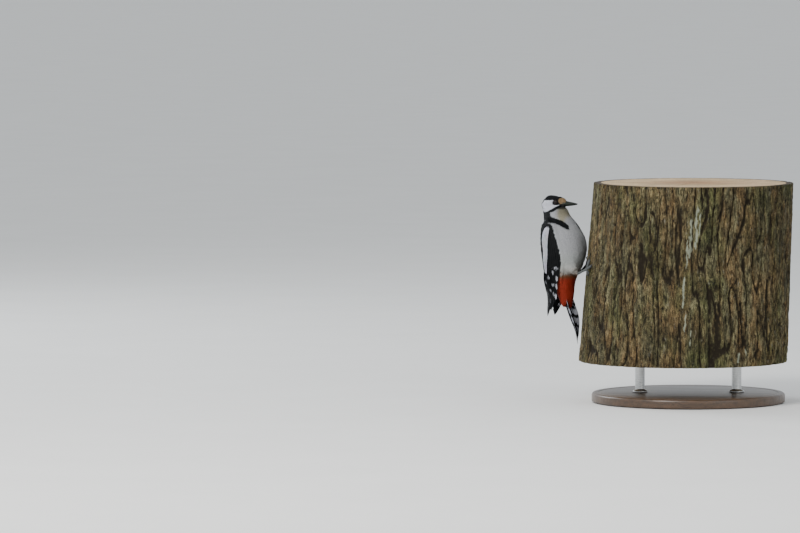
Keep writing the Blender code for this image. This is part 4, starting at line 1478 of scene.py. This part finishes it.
def make_wing(side):
    """A folded wing of primaries, secondaries, tertials and rows of coverts, laid as shingles."""
    black, white = tuple(colours().black), tuple(colours().white)
    wing = Feathers(f"wing_feathers_{'right' if side > 0 else 'left'}")
    random = np.random.default_rng(41 if side > 0 else 42)

    def angle_at(height, share):
        front, back, _, _ = wing_row(side, np.array([height]))
        return float(front[0] + (back[0] - front[0]) * share)

    for top, steps, over, spread, wide, seed, shape, (root, root_by, end, end_by), quills in FLIGHT:
        for i, (tip, root_share, tip_share) in enumerate(quills):
            turns = (angle_at(top, root_share), angle_at(tip + over, tip_share))
            frames = wing_frames(side, steps, top, tip, *turns, root + root_by * i, end + end_by * i)
            marking = spotted((top, tip), turns, spread, black, white, random)
            lay_vane(wing, frames, top - tip, wide, marking, seed + i, *shape)
    for r, (tip, length, wide, count, first, last) in enumerate(COVERTS):
        for i in range(count):
            share = first + (last - first) * i / (count - 1)
            low = tip + random.uniform(-1.2, 1.2)
            high = min(low + length, COVERT_HIGH)
            centre, spread = smooth(SHOULDER, low)[0]
            if 103.0 < low < 168.0 and abs(angle_at(low, share) - centre) < spread - 1.5:
                continue
            turns = (angle_at(high, share), angle_at(low, share))
            frames = wing_frames(side, COVERT_STEPS, high, low, *turns, 0.45 + 0.02 * r,
                                 0.86 + 0.012 * r + 0.03 * random.random())
            marking = spotted((high, low), turns, wide, black, white, random) if r == 0 else plain(black)
            lay_vane(wing, frames, length, wide, marking, 400 + 20 * r + i, *COVERT_SHAPE)
    for r, high in enumerate(PATCH_ROWS):
        count = max(3, int(round(smooth(SHOULDER, high - 6.0)[0][1] / 2.7)))
        for i in range(count):
            share = (i + 0.5) / count * 2 - 1 + random.uniform(-0.08, 0.08)
            low = high - PATCH_LENGTH + random.uniform(-1.0, 1.0)
            turns = [middle + share * broad * fit
                     for (middle, broad), fit in zip(smooth(SHOULDER, [high, low]), (0.75, 0.86))]
            frames = wing_frames(side, COVERT_STEPS, high, low, *turns, 0.86, 1.08 + 0.08 * random.random())
            tone = tuple(c * random.uniform(0.93, 1.02) for c in white)
            lay_vane(wing, frames, PATCH_LENGTH, 2.9, plain(tone), 700 + 20 * r + i, *PATCH_SHAPE)
    return wing.piece(vane_finish())


# ---- Tail


TAIL_STEPS = 56  # points along a tail feather
BAR_EDGE = 0.02  # the share of a feather's length in which a bar fades
TAIL_QUILLS = (  # place across, tip's share, half width, level, bars
    (0.10, 1.0, 3.3, 0.94, None), (0.30, 0.975, 3.4, 0.76, None), (0.50, 0.93, 3.5, 0.58, None),
    (0.66, 0.86, 3.5, 0.40, ((0.0, 0.42), (0.52, 0.62), (0.72, 0.82), (0.93, 1.1))),
    (0.80, 0.76, 3.2, 0.22, ((0.0, 0.30), (0.42, 0.52), (0.64, 0.74), (0.88, 0.96))),
    (0.90, 0.42, 2.2, 0.10, ((0.0, 0.5), (0.7, 0.85))),
)


def tail_frame(share, turn):
    """Middles along the tail, and the directions there across it and out of its back."""
    knots = np.vstack([TAIL_LINE, (1.0, *bark_point(*TAIL_TIP, TAIL_LEAD))])
    before, middle, after = smooth(knots, share - 0.02), smooth(knots, share), smooth(knots, share + 0.02)
    line = unit(after - before)
    across = square_to(rightward(turn), line)
    return middle, across, np.cross(line, across)


def tail_sheet(share, side, level):
    """Points of the tail: side runs from -1 to 1 across it, level from 0 underneath to 1 on its back."""
    wide, thick, arch, turn = smooth(TAIL, share).T
    middle, across, out = tail_frame(share, turn)
    roof = -arch * side * side + arch / 3
    edge = 0.35 + (thick / 2 - 0.35) * np.sqrt(np.clip(1 - side**4, 0.0, 1.0))
    lift = roof + (level * 2 - 1) * edge * 0.86
    return raised(middle + across * (side * wide)[:, None] + out * lift[:, None])


def barred(base, dark, bars):
    """A pale feather with dark bars at shares of its length."""
    def marking(t, s):
        amount, skew = np.zeros_like(t), t + 0.02 * np.abs(s)
        for low, high in bars:
            past = step_up(skew, high - BAR_EDGE, high)
            amount = np.maximum(amount, step_up(skew, low, low + BAR_EDGE) * (1 - past))
        return blend(base, dark, amount[..., None])
    return marking


def make_tail():
    """Stiff pointed tail feathers: black in the middle, white with black bars at the sides."""
    black, pale = tuple(colours().black), tuple(colours().tail_pale)
    tail = Feathers("tail_feathers")
    for q, (place, tip, wide, level, bars) in enumerate(reversed(TAIL_QUILLS)):
        for side in (-1, 1):
            share = np.linspace(0.04, tip, TAIL_STEPS)
            at, on = side * place * np.ones(TAIL_STEPS), np.full(TAIL_STEPS, level)
            fit = np.clip((smooth(TAIL, share)[:, 0] - 1.2) / 8.5, 0.25, 1.0)
            point, near, far = (tail_sheet(share, np.clip(at + aside, -1, 1), on)
                                for aside in (0.0, 0.08, -0.08))
            across = unit(near - far)
            out = np.cross(unit(np.gradient(point, axis=0)), across)
            marking = plain(black) if bars is None else barred(pale, black, bars)
            lay_vane(tail, (point, across * fit[:, None], out), 70.0 * tip, wide, marking, 900 + 2 * q + side,
                     0.42, 0.15, 7, 0.5)
    return tail.piece(vane_finish())


# ---- Plumage


SKIN_PLACES = 330000  # from which the feathers' roots are chosen
PIECE_LIMIT = 199000  # triangles in one piece of the coat
PATCH_SIZE = 0.003  # of one feather's colour on the unwrap
BLADES = 9  # in one feather, each of three pairs of points and a tip
BLADE_STEPS = np.array([0.05, 0.42, 0.78, 1.0])
# painted shade along a blade: darker at its root, where the feathers over it shade it, and a little lighter
# at its tip
BLADE_PAINTED_SHADE = (0.88, 0.88, 1.0, 1.0, 1.03)  # beyond its root
BLADE_FACES = (((0, 1, 3, 2), (2, 3, 5, 4)), ((4, 5, 6),))


def plumage_finish():
    """Soft body feathers: their own colours, a little gloss where they are black."""
    mix = Finish("Plumage")
    tone = mix.attribute("Tint", "Color")
    base = mix.shaded(tone, mix.grain(1100.0, 3.0, (1.0, 1.0, 0.5)), 0.3, 0.7, 0.88, 1.04)
    mix.paint(base, mix.feather_gloss(tone, 0.55, 0.85), 0.15)
    return mix.material


def skin_samples(skin, count):
    """Even random places over the skin: points, normals and places on its unwrap."""
    mesh = skin.data
    mesh.calc_loop_triangles()
    corner = read_off(mesh.loop_triangles, "loops", 3, np.int32)
    vertex = read_off(mesh.loop_triangles, "vertices", 3, np.int32)
    points, normals = mesh_points(skin), mesh_normals(skin)
    uv = read_off(mesh.uv_layers["OFBake"].data, "uv", 2)
    a, b, c = (points[vertex[:, k]] for k in range(3))
    area = np.linalg.norm(np.cross(b - a, c - a), axis=1)
    random = np.random.default_rng(7)
    chosen = random.choice(len(vertex), count, p=area / area.sum())
    u, v = random.random(count), random.random(count)
    flip = u + v > 1
    u, v = np.where(flip, 1 - u, u), np.where(flip, 1 - v, v)
    weights = np.stack([1 - u - v, u, v], axis=1)[:, :, None]
    points, normals, uv = ((values[at[chosen]] * weights).sum(axis=1)
                           for values, at in ((points, vertex), (normals, vertex), (uv, corner)))
    return points, unit(normals), uv


def thin_out(points, spacing):
    """Which points to keep so that none lies nearer another than its spacing."""
    keep, beside = [], tuple(itertools.product((-1, 0, 1), repeat=3))
    for size in np.unique(spacing):
        taken = {}
        for i in np.flatnonzero(spacing == size):
            p = tuple(points[i])
            x, y, z = (int(c // size) for c in p)
            near = (q for dx, dy, dz in beside for q in taken.get((x + dx, y + dy, z + dz), ()))
            if all((q[0] - p[0]) ** 2 + (q[1] - p[1]) ** 2 + (q[2] - p[2]) ** 2 >= size * size for q in near):
                taken.setdefault((x, y, z), []).append(p)
                keep.append(i)
    return np.array(keep)


def leg_place(points):
    """How far points lie from the nearer leg's line, and the way that leg points."""
    gaps, ways = [], []
    for side in FEET:
        hip, heel = raised(np.array(HIPS[side])), raised(np.array(HEELS[side]))
        way = heel - hip
        share = np.clip(((points - hip) @ way) / (way @ way), 0.0, 1.0)
        gaps.append(np.linalg.norm(points - hip - share[:, None] * way, axis=1))
        ways.append(np.tile(unit(way), (len(points), 1)))
    nearer = gaps[0] < gaps[1]
    return np.where(nearer, *gaps), np.where(nearer[:, None], *ways)


def lie_of(points):
    """The way the feathers lie: back over the head, down the body, forward over the bill's base."""
    height, angle, _ = body_place(points)
    ahead, side, up = head_parts(points)
    down = np.tile(-UP, (len(points), 1))
    level = np.clip((ahead + 15.0) / 18.0, 0.0, 1.0) * np.clip((up + 15.0) / 13.0, 0.0, 1.0)
    head = unit(-forward(HEAD_TURN) * level[:, None] + down * (1.15 - level)[:, None])
    nasal = (step_up(ahead, 14.0, 18.5) * step_up(up, -2.5, -1.0) * step_up(9.5 - up, 0.0, 1.5))[:, None]
    outwards = rightward(HEAD_TURN) * np.sign(side)[:, None] * 0.7 - down
    head = blend(head, forward(HEAD_TURN) + 0.12 * down, nasal) + 2.4 * nasal * (1 - nasal) * outwards
    near = np.exp(-np.maximum(eye_parts(points)[0] - EYE_RADIUS, 0.0) / 1.1)[:, None]
    centres = head_place(EYE_PLACE[0], np.where(side > 0, 1, -1) * EYE_PLACE[1], EYE_PLACE[2])
    head = blend(unit(head), unit(points - centres), near)
    outward = rightward(smooth(AXIS, height)[:, 2]) * np.sign(angle)[:, None]
    low = step_up(height, 92.0, 112.0) * (1 - 0.85 * step_up(height, 118.0, 146.0))
    flank = (step_up(np.abs(angle), 34.0, 60.0) * low * 0.5)[:, None]
    leg, along = leg_place(points)
    leg = (step_up(14.0 - leg, 0.0, 9.0) * step_up(points[:, 0], -176.0, -167.0))[:, None]
    body = blend(unit(down + outward * flank), along, leg)
    return unit(blend(body, head, step_up(height, 186.0, 194.0)[:, None]))


def vent_end(angle):
    """How low the feathers hang at an angle from the belly."""
    return np.interp(angle, *np.array(VENT_ENDS).T)


def feather_sizes(points):
    """Length, half width and spacing of the feathers rooted at points, in millimetres."""
    height, angle, _ = body_place(points)
    ahead, _, up = head_parts(points)
    neck = step_up(height, 183.0, 194.0)
    face = step_up(ahead, 2.0, 12.0) * neck
    body = 6.6 + 1.6 * step_up(-height, -135.0, -105.0) + 2.4 * step_up(-height, -100.0, -80.0)
    body = body - 2.2 * step_up(height, 160.0, 185.0)
    end, round_to = vent_end(angle), np.abs(angle)
    body = np.where((height < end + 15.0) & (round_to < 110.0), np.clip(height - end, 5.0, 13.0), body)
    flank = step_up(round_to, 44.0, 58.0) * step_up(height, 100.0, 118.0)
    body = body + 2.0 * (flank * (1 - step_up(height, 140.0, 158.0)))
    thigh = step_up(points[:, 0], -171.0, -166.0) * step_up(124.0 - height, 0.0, 6.0)
    body = body * (1 + 0.1 * (thigh * step_up(height, 98.0, 102.0)))
    length = blend(body, 3.3 - 1.3 * face, neck)
    length = np.minimum(length, 0.9 + 0.5 * np.maximum(eye_parts(points)[0] - 3.4, 0.0) + 30.0 * (1 - neck))
    length = blend(length, 3.4, step_up(ahead, 15.5, 17.5) * step_up(up, -2.5, -1.0) * neck)
    spacing = np.select([neck * face > 0.5, neck > 0.5, height > 160.0], [0.42, 0.52, 0.68], 0.84)
    return length, 0.34 * length ** 0.78, spacing


def fluff(points):
    """How much further the feathers of the throat and the breast stand off, in millimetres."""
    height, angle, _ = body_place(points)
    ahead, _, up = head_parts(points)
    breast = 2.1 * np.exp(-(((height - 157.0) / 19.0) ** 2)) * (1 - step_up(np.abs(angle), 30.0, 62.0))
    throat = 2.6 * np.exp(-(((up + 9.5) / 5.5) ** 2)) * step_up(ahead, 8.0, 15.0)
    return blend(breast, throat * (1 - step_up(up, -4.6, -3.0)), step_up(height, 184.0, 192.0))


def is_bare(points, normals):
    """Places that grow no feathers: under the folded wings, at the eyes and under the bill."""
    height, angle, _ = body_place(points)
    gap, tilt = eye_parts(points)
    bare = (gap < EYE_RADIUS + EYE_ROOM) & (tilt < 55.0)
    for side in (1, -1):
        front, back, _, _ = wing_row(side, np.clip(height, WING[-1, 0], WING[0, 0]))
        here = (angle * side > front - 1.5) & (angle * side < back - 1.0)
        bare |= here & (height > 58.0) & (height < 179.0)
    bare |= ((normals[:, 2] < -0.3) & (height < 68.0)) | (height < vent_end(angle) + 3.0)
    ahead, side, up = head_parts(points)
    bare |= (ahead > 22.5) & (np.abs(side) < 5.4) & (np.abs(up - BILL_LINE) < 4.8)
    return bare


def over_wings(points, clear):
    """Points that would lie in a folded wing, moved out to lie so far over its feathers."""
    height, angle, radius = body_place(points)
    turn, a = smooth(AXIS, height)[:, 2], np.radians(angle)[:, None]
    out = forward(turn) * np.cos(a) + rightward(turn) * np.sin(a)
    moved = points.copy()
    for side in (1, -1):
        low = np.clip(height, WING[-1, 0], WING[0, 0])
        front, back, _, _ = wing_row(side, low)
        inside = step_up(angle * side, front - 10.0, front) * (angle * side < back + 1.0)
        inside = inside * step_up(height, 84.0, 98.0) * (height < 182.5)
        needed = wing_surface(side, low, angle * side, 1.0) + clear
        moved += out * (np.maximum(0.0, needed - radius) * inside)[:, None]
    return moved


def follow_skin(skin, points, normals, length, random):
    """Feathers laid over the skin in three steps: their places, the ways out and the ways across there."""
    faces = [tuple(face.vertices) for face in skin.data.polygons]
    tree = BVHTree.FromPolygons([tuple(p) for p in mesh_points(skin)], faces)
    stray = 0.1 - 0.07 * step_up(BIRD_FLOOR + 84.0 - points[:, 2], 0.0, 12.0)
    lie = square_to(lie_of(points) + random.normal(0, 1.0, points.shape) * stray[:, None], normals)
    at, out = points, normals
    rows = [(at, out, np.cross(lie, out))]
    for _ in range(3):
        step = at + lie * (length / 3)[:, None]
        found = [tree.find_nearest(Vector(p)) for p in step]
        surface = np.array([f[0] for f in found])
        facing = unit(np.array([f[1] for f in found]) + out)
        ending = (facing[:, 2] < -0.3) & (step[:, 2] - BIRD_FLOOR < 72.0)
        hangs = ((np.linalg.norm(step - surface, axis=1) > 1.6) | ending)[:, None]
        at = np.where(hangs, step, surface)  # past the end of the skin it goes straight on
        out = np.where(hangs, out, facing)
        lie = np.where(hangs, lie, square_to(unit(0.5 * lie + 0.5 * lie_of(at)), out))
        rows.append((at, out, np.cross(lie, out)))
    return (np.stack(column, axis=1) for column in zip(*rows))


def lifted(points, centres, outs, random):
    """The feathers' middles at the coat's depth, kept in round the vent and brought out over the wings."""
    count = len(points)
    t = np.array([0.0, 1 / 3, 2 / 3, 1.0])
    lift = coat_depth(points)[:, None] * (1 - (1 - t[None]) ** 2.2)
    lift = 0.12 + lift * random.uniform(0.8, 1.08, count)[:, None]
    lift = lift + fluff(points)[:, None] * np.array([0.7, 0.9, 1.0, 1.05])
    spine = centres + outs * lift[..., None]
    _, _, root_reach = body_place(spine[:, 0])
    for k in range(1, 4):  # no feather of the vent stands away from the body
        height, _, reach = body_place(spine[:, k])
        middle = raised(np.column_stack([smooth(AXIS, height)[:, :2], height]))
        near = np.minimum(1.0, (root_reach + 0.3) / np.maximum(reach, 1e-6))
        near = np.where(height < 82.0, near, 1.0)[:, None]
        spine[:, k] = middle + (spine[:, k] - middle) * near
    for k in range(1, 4):
        spine[:, k] = over_wings(spine[:, k], 0.15 + 0.12 * k + 0.25 * random.random(count))
    return spine


def tufts(spine, outs, sides, wide, marks_and_shade, uv, random):
    """Each feather as a fan of thin pointed blades: their points, colours with painted shade at their roots,
    and places on the unwrap.
    """
    count = len(spine)
    light = step_up(marks_and_shade.mean(axis=1), 0.03, 0.3)
    # painted shade: each blade darker at its root, less so where the feather is pale
    painted_root_shade = np.column_stack([0.5 + 0.38 * light] * 2 + [np.full(count, tone) for tone in BLADE_PAINTED_SHADE])

    def along(values, share):
        place = share * 3
        i, rows = np.minimum(place.astype(int), 2), np.arange(count)[:, None]
        return blend(values[rows, i], values[rows, i + 1], (place - i)[..., None])

    verts, tints, patch = [], [], []
    for lean in np.linspace(-1.0, 1.0, BLADES):
        reach = (1.0 - 0.24 * abs(lean) ** 1.6) * random.uniform(0.68, 1.04, count)
        share = np.clip(BLADE_STEPS[None] * reach[:, None], 0.0, 1.0)
        middle, s, o = (along(values, share) for values in (spine, sides, outs))
        spread = lean * wide[:, None] * (0.35 + 0.75 * share - 0.25 * share**2)
        spread = spread * random.uniform(0.85, 1.15, count)[:, None]
        middle = middle + s * spread[..., None] - o * (0.18 * lean * lean * wide)[:, None, None]
        breadth = (wide[:, None] * 0.155 * np.array([0.8, 1.0, 0.62])[None])[..., None]
        across = unit(s[:, :3] + o[:, :3] * random.normal(0, 0.22, count)[:, None, None]) * breadth
        pairs = np.stack([middle[:, :3] - across, middle[:, :3] + across], axis=2).reshape(count, 6, 3)
        verts.append(np.concatenate([pairs, middle[:, 3:]], axis=1))
        shade_by = painted_root_shade * random.uniform(0.95, 1.04, count)[:, None]
        tints.append(np.clip(marks_and_shade[:, None] * shade_by[..., None], 0.0, 1.0))
        beside = np.tile([-0.4, 0.4, -0.4, 0.4, -0.3, 0.3, 0.0], (count, 1)) * 0.24 + lean * 0.38
        spot = np.stack([beside, np.repeat(share, [2, 2, 2, 1], axis=1) - 0.5], axis=-1)
        patch.append(uv[:, None] + spot * PATCH_SIZE)
    verts, tints, patch = (np.stack(v, axis=1).reshape(count, BLADES * 7, -1) for v in (verts, tints, patch))
    return verts, np.clip(tints * (1.0 + random.normal(0, 0.045, count)[:, None, None]), 0.0, 1.0), patch


def repeated(faces, count, step):
    """Faces copied so many times, each copy's points so many further on."""
    starts = (np.arange(count) * step)[:, None, None]
    return (np.array(faces)[None] + starts).reshape(-1, len(faces[0]))


def make_plumage():
    """Body feathers as tufts of thin blades, rooted on the skin and laid along it."""
    skin = bpy.data.objects["plumage_skin"]
    points, normals, uv = skin_samples(skin, SKIN_PLACES)
    feathered = ~is_bare(points, normals)
    points, normals, uv = (values[feathered] for values in (points, normals, uv))
    keep = thin_out(points, feather_sizes(points)[2] / math.sqrt(sizes().plumage_density))
    points, normals, uv = (values[keep] for values in (points, normals, uv))
    random = np.random.default_rng(11)
    length, wide, _ = feather_sizes(points)
    length = length * random.uniform(0.85, 1.15, len(points)) * sizes().feather_length
    centres, outs, sides = follow_skin(skin, points, normals, length, random)
    spine = lifted(points, centres, outs, random)
    marks_and_shade = plumage_colour(spine[:, 1] * 0.5 + spine[:, 2] * 0.5)
    verts, tints, patch = tufts(spine, outs, sides, wide, marks_and_shade, uv, random)
    feather = [repeated(faces, BLADES, 7) for faces in BLADE_FACES]
    order = np.argsort(-points[:, 2])
    share = PIECE_LIMIT // (BLADES * 5)
    finish = plumage_finish()
    made = []
    for part, first in enumerate(range(0, len(points), share)):
        chosen = order[first:first + share]
        faces = [repeated(kind, len(chosen), BLADES * 7) for kind in feather]
        piece = mesh_piece(f"plumage_{part + 1}", verts[chosen].reshape(-1, 3), faces, finish)
        lay_out(piece, "OFBake", patch[chosen].reshape(-1, 2))
        tint(piece, "Tint", tints[chosen].reshape(-1, 3))
        made.append(piece)
    return made


# ---- The add-on


def shade(name, description, default):
    return FloatVectorProperty(name=name, description=description, default=default, subtype="COLOR",
                               size=3, min=0.0, max=1.0)


class WoodpeckerColours(bpy.types.PropertyGroup):
    black: shade("Black", "Crown, back, wings and tail", (0.0035, 0.0042, 0.0052))
    white: shade("White", "Cheeks, shoulder patches and wing spots", (0.58, 0.59, 0.65))
    breast: shade("Breast", "Upper breast", (0.36, 0.365, 0.38))
    belly: shade("Belly", "Lower breast and belly", (0.40, 0.42, 0.395))
    throat: shade("Throat", "Throat and foreneck", (0.42, 0.42, 0.45))
    throat_stain: shade("Throat Stain", "Olive stain at the front of the throat", (0.34, 0.31, 0.21))
    # painted shade under the bill
    shade_under_bill: shade("Shade Under Bill", "Under the bill", (0.055, 0.058, 0.045))
    # painted shade: the thighs and the side that faces the bark, where the trunk shades them
    painted_shade: shade("Painted Shade", "Thighs and the side that rubs the bark", (0.10, 0.10, 0.09))
    lores: shade("Lores", "Between the bill and the eye", (0.02, 0.021, 0.021))
    buff: shade("Buff", "Forehead and bristles over the bill", (0.21, 0.14, 0.072))
    vent: shade("Vent", "Feathers under the tail", (0.26, 0.024, 0.009))
    vent_edge: shade("Vent Edge", "Where the belly turns red", (0.13, 0.05, 0.02))
    tail_pale: shade("Tail Pale", "Outer tail feathers", (0.40, 0.41, 0.46))
    lid: shade("Eyelid", "Bare skin round the eye", (0.03, 0.028, 0.03))
    iris: shade("Iris", "The eye's iris", (0.015, 0.005, 0.003))
    bill: shade("Bill", "Horn of the bill", (0.013, 0.017, 0.012))
    foot: shade("Foot", "Scaly skin of the feet", (0.066, 0.073, 0.072))
    claw: shade("Claw", "Horn of the claws", (0.035, 0.033, 0.032))
    bark_grey: shade("Bark Grey", "Weathered plates of bark", (0.100, 0.090, 0.048))
    bark_ochre: shade("Bark Ochre", "Fresher plates of bark", (0.110, 0.074, 0.034))
    bark_algae: shade("Bark Algae", "Green film on the bark", (0.058, 0.062, 0.024))
    bark_flake: shade("Bark Flakes", "Weathered grey flakes on the bark", (0.19, 0.18, 0.14))
    # painted shade in the furrows
    bark_crack_shade: shade("Bark Crack Shade", "Depths of the furrows", (0.015, 0.011, 0.006))
    resin: shade("Resin", "Dried resin that has run down the bark", (0.27, 0.29, 0.22))
    sapwood: shade("Sapwood", "Pale wood near the bark", (0.55, 0.40, 0.23))
    heartwood: shade("Heartwood", "Darker wood at the log's middle", (0.36, 0.21, 0.10))
    stand_wood: shade("Stand Wood", "The stand's stained base", (0.10, 0.055, 0.028))
    stand_steel: shade("Stand Steel", "The stand's rods", (0.55, 0.56, 0.56))
    floor: shade("Floor", "The pale floor", (0.78, 0.78, 0.77))


def amount(name, description, default, least, most, **kind):
    return FloatProperty(name=name, description=description, default=default, min=least, max=most, **kind)


LENGTH = {"subtype": "DISTANCE", "unit": "LENGTH"}


class WoodpeckerSizes(bpy.types.PropertyGroup):
    bark_depth: amount("Bark Depth", "Depth of the long furrows", 0.0042, 0.0, 0.008, **LENGTH)
    bark_furrows: amount("Bark Furrows", "Space between the long furrows", 0.014, 0.0, 0.05, **LENGTH)
    base_edge: amount("Base Edge", "Rounding of the stand's base", 0.004, 0.0, 0.005, **LENGTH)
    feather_length: amount("Feather Length", "Length of the body feathers", 1.0, 0.5, 1.5, subtype="FACTOR")
    plumage_density: amount("Plumage Density", "How many feathers there are", 1.0, 0.2, 1.6, subtype="FACTOR")
    key_power: amount("Key Light", "Power of the main light", 95.0, 0.0, 500.0, unit="POWER")
    sky: amount("Surround", "Strength of the soft light from all round", 0.85, 0.0, 5.0)


class StageOperator(bpy.types.Operator):
    """Sets up the floor, the soft lights and the camera"""
    bl_idname = "woodpecker.stage"
    bl_label = "Stage"

    def execute(self, context):
        make_stage()
        return {"FINISHED"}


class PerchOperator(bpy.types.Operator):
    """Covers the trunk with furrowed bark and saws its ends"""
    bl_idname = "woodpecker.perch"
    bl_label = "Perch"

    def execute(self, context):
        bark, points = make_bark()
        dress(bark, "bark", "perch_trunk")
        dress(make_cut("perch_cut_top", points[-1], PERCH_HIGH - BIRD_FLOOR, 1), "bark", "perch_trunk")
        dress(make_cut("perch_cut_low", points[0], PERCH_LOW - BIRD_FLOOR, -1), "bark", "perch_trunk")
        return {"FINISHED"}


class StandOperator(bpy.types.Operator):
    """Turns the stand's base and its two rods"""
    bl_idname = "woodpecker.stand"
    bl_label = "Stand"

    def execute(self, context):
        dress(make_base(), "stand_wood", "stand_base")
        for side in ("left", "right"):
            rod = f"stand_rod_{side}"
            dress(make_rod(f"stand_steel_rod_{side}", rod), "stand_steel", rod)
        return {"FINISHED"}


class SkinOperator(bpy.types.Operator):
    """Draws one skin over the body, with the lids round its eyes"""
    bl_idname = "woodpecker.skin"
    bl_label = "Skin"

    def execute(self, context):
        dress(make_skin(), "white_plumage", "head", "neck", "trunk", "thigh_left", "thigh_right")
        return {"FINISHED"}


class EyesOperator(bpy.types.Operator):
    """Sets the two eyes"""
    bl_idname = "woodpecker.eyes"
    bl_label = "Eyes"

    def execute(self, context):
        dress(make_eye(1), "eye_glass", "eye_right")
        dress(make_eye(-1), "eye_glass", "eye_left")
        return {"FINISHED"}


class BillOperator(bpy.types.Operator):
    """Makes the two halves of the bill"""
    bl_idname = "woodpecker.bill"
    bl_label = "Bill"

    def execute(self, context):
        dress(make_mandible("bill_horn_upper", BILL_UPPER, 1), "bill_horn", "bill_upper")
        dress(make_mandible("bill_horn_lower", BILL_LOWER, -1), "bill_horn", "bill_lower")
        return {"FINISHED"}


class FeetOperator(bpy.types.Operator):
    """Makes the scaly feet and their claws"""
    bl_idname = "woodpecker.feet"
    bl_label = "Feet"

    def execute(self, context):
        for side in FEET:
            dress(make_foot(side), "foot_skin", f"foot_{side}")
            for toe in TOES:
                dress(make_claw(side, toe), "claw_horn", f"claw_{side}_{toe}")
        return {"FINISHED"}


class WingsOperator(bpy.types.Operator):
    """Lays the feathers of the folded wings"""
    bl_idname = "woodpecker.wings"
    bl_label = "Wings"

    def execute(self, context):
        dress(make_wing(1), "black_plumage", "wing_right")
        dress(make_wing(-1), "black_plumage", "wing_left")
        return {"FINISHED"}


class TailOperator(bpy.types.Operator):
    """Lays the stiff feathers of the tail"""
    bl_idname = "woodpecker.tail"
    bl_label = "Tail"

    def execute(self, context):
        dress(make_tail(), "black_plumage", "tail")
        return {"FINISHED"}


class PlumageOperator(bpy.types.Operator):
    """Grows the body feathers over the skin"""
    bl_idname = "woodpecker.plumage"
    bl_label = "Plumage"

    def execute(self, context):
        for piece in make_plumage():
            dress(piece, "white_plumage")
        return {"FINISHED"}


OPERATORS = (StageOperator, PerchOperator, StandOperator, SkinOperator, EyesOperator, BillOperator,
             FeetOperator, WingsOperator, TailOperator, PlumageOperator)


class WoodpeckerPanel(bpy.types.Panel):
    bl_label = "Great Spotted Woodpecker"
    bl_idname = "VIEW3D_PT_woodpecker"
    bl_space_type = "VIEW_3D"
    bl_region_type = "UI"
    bl_category = "Woodpecker"

    def draw(self, context):
        for operator in OPERATORS:
            self.layout.operator(operator.bl_idname)
        for group in (context.scene.woodpecker_sizes, context.scene.woodpecker_colours):
            box = self.layout.box()
            for name in group.__annotations__:
                box.prop(group, name)


CLASSES = (WoodpeckerColours, WoodpeckerSizes, *OPERATORS, WoodpeckerPanel)


def register():
    for made in CLASSES:
        bpy.utils.register_class(made)
    bpy.types.Scene.woodpecker_colours = PointerProperty(type=WoodpeckerColours)
    bpy.types.Scene.woodpecker_sizes = PointerProperty(type=WoodpeckerSizes)


def unregister():
    del bpy.types.Scene.woodpecker_colours
    del bpy.types.Scene.woodpecker_sizes
    for made in reversed(CLASSES):
        bpy.utils.unregister_class(made)


def main():
    register()
    bpy.ops.woodpecker.stage()
    bpy.ops.woodpecker.perch()
    bpy.ops.woodpecker.stand()
    bpy.ops.woodpecker.skin()
    bpy.ops.woodpecker.eyes()
    bpy.ops.woodpecker.bill()
    bpy.ops.woodpecker.feet()
    bpy.ops.woodpecker.wings()
    bpy.ops.woodpecker.tail()
    bpy.ops.woodpecker.plumage()


if __name__ == "__main__":
    main()
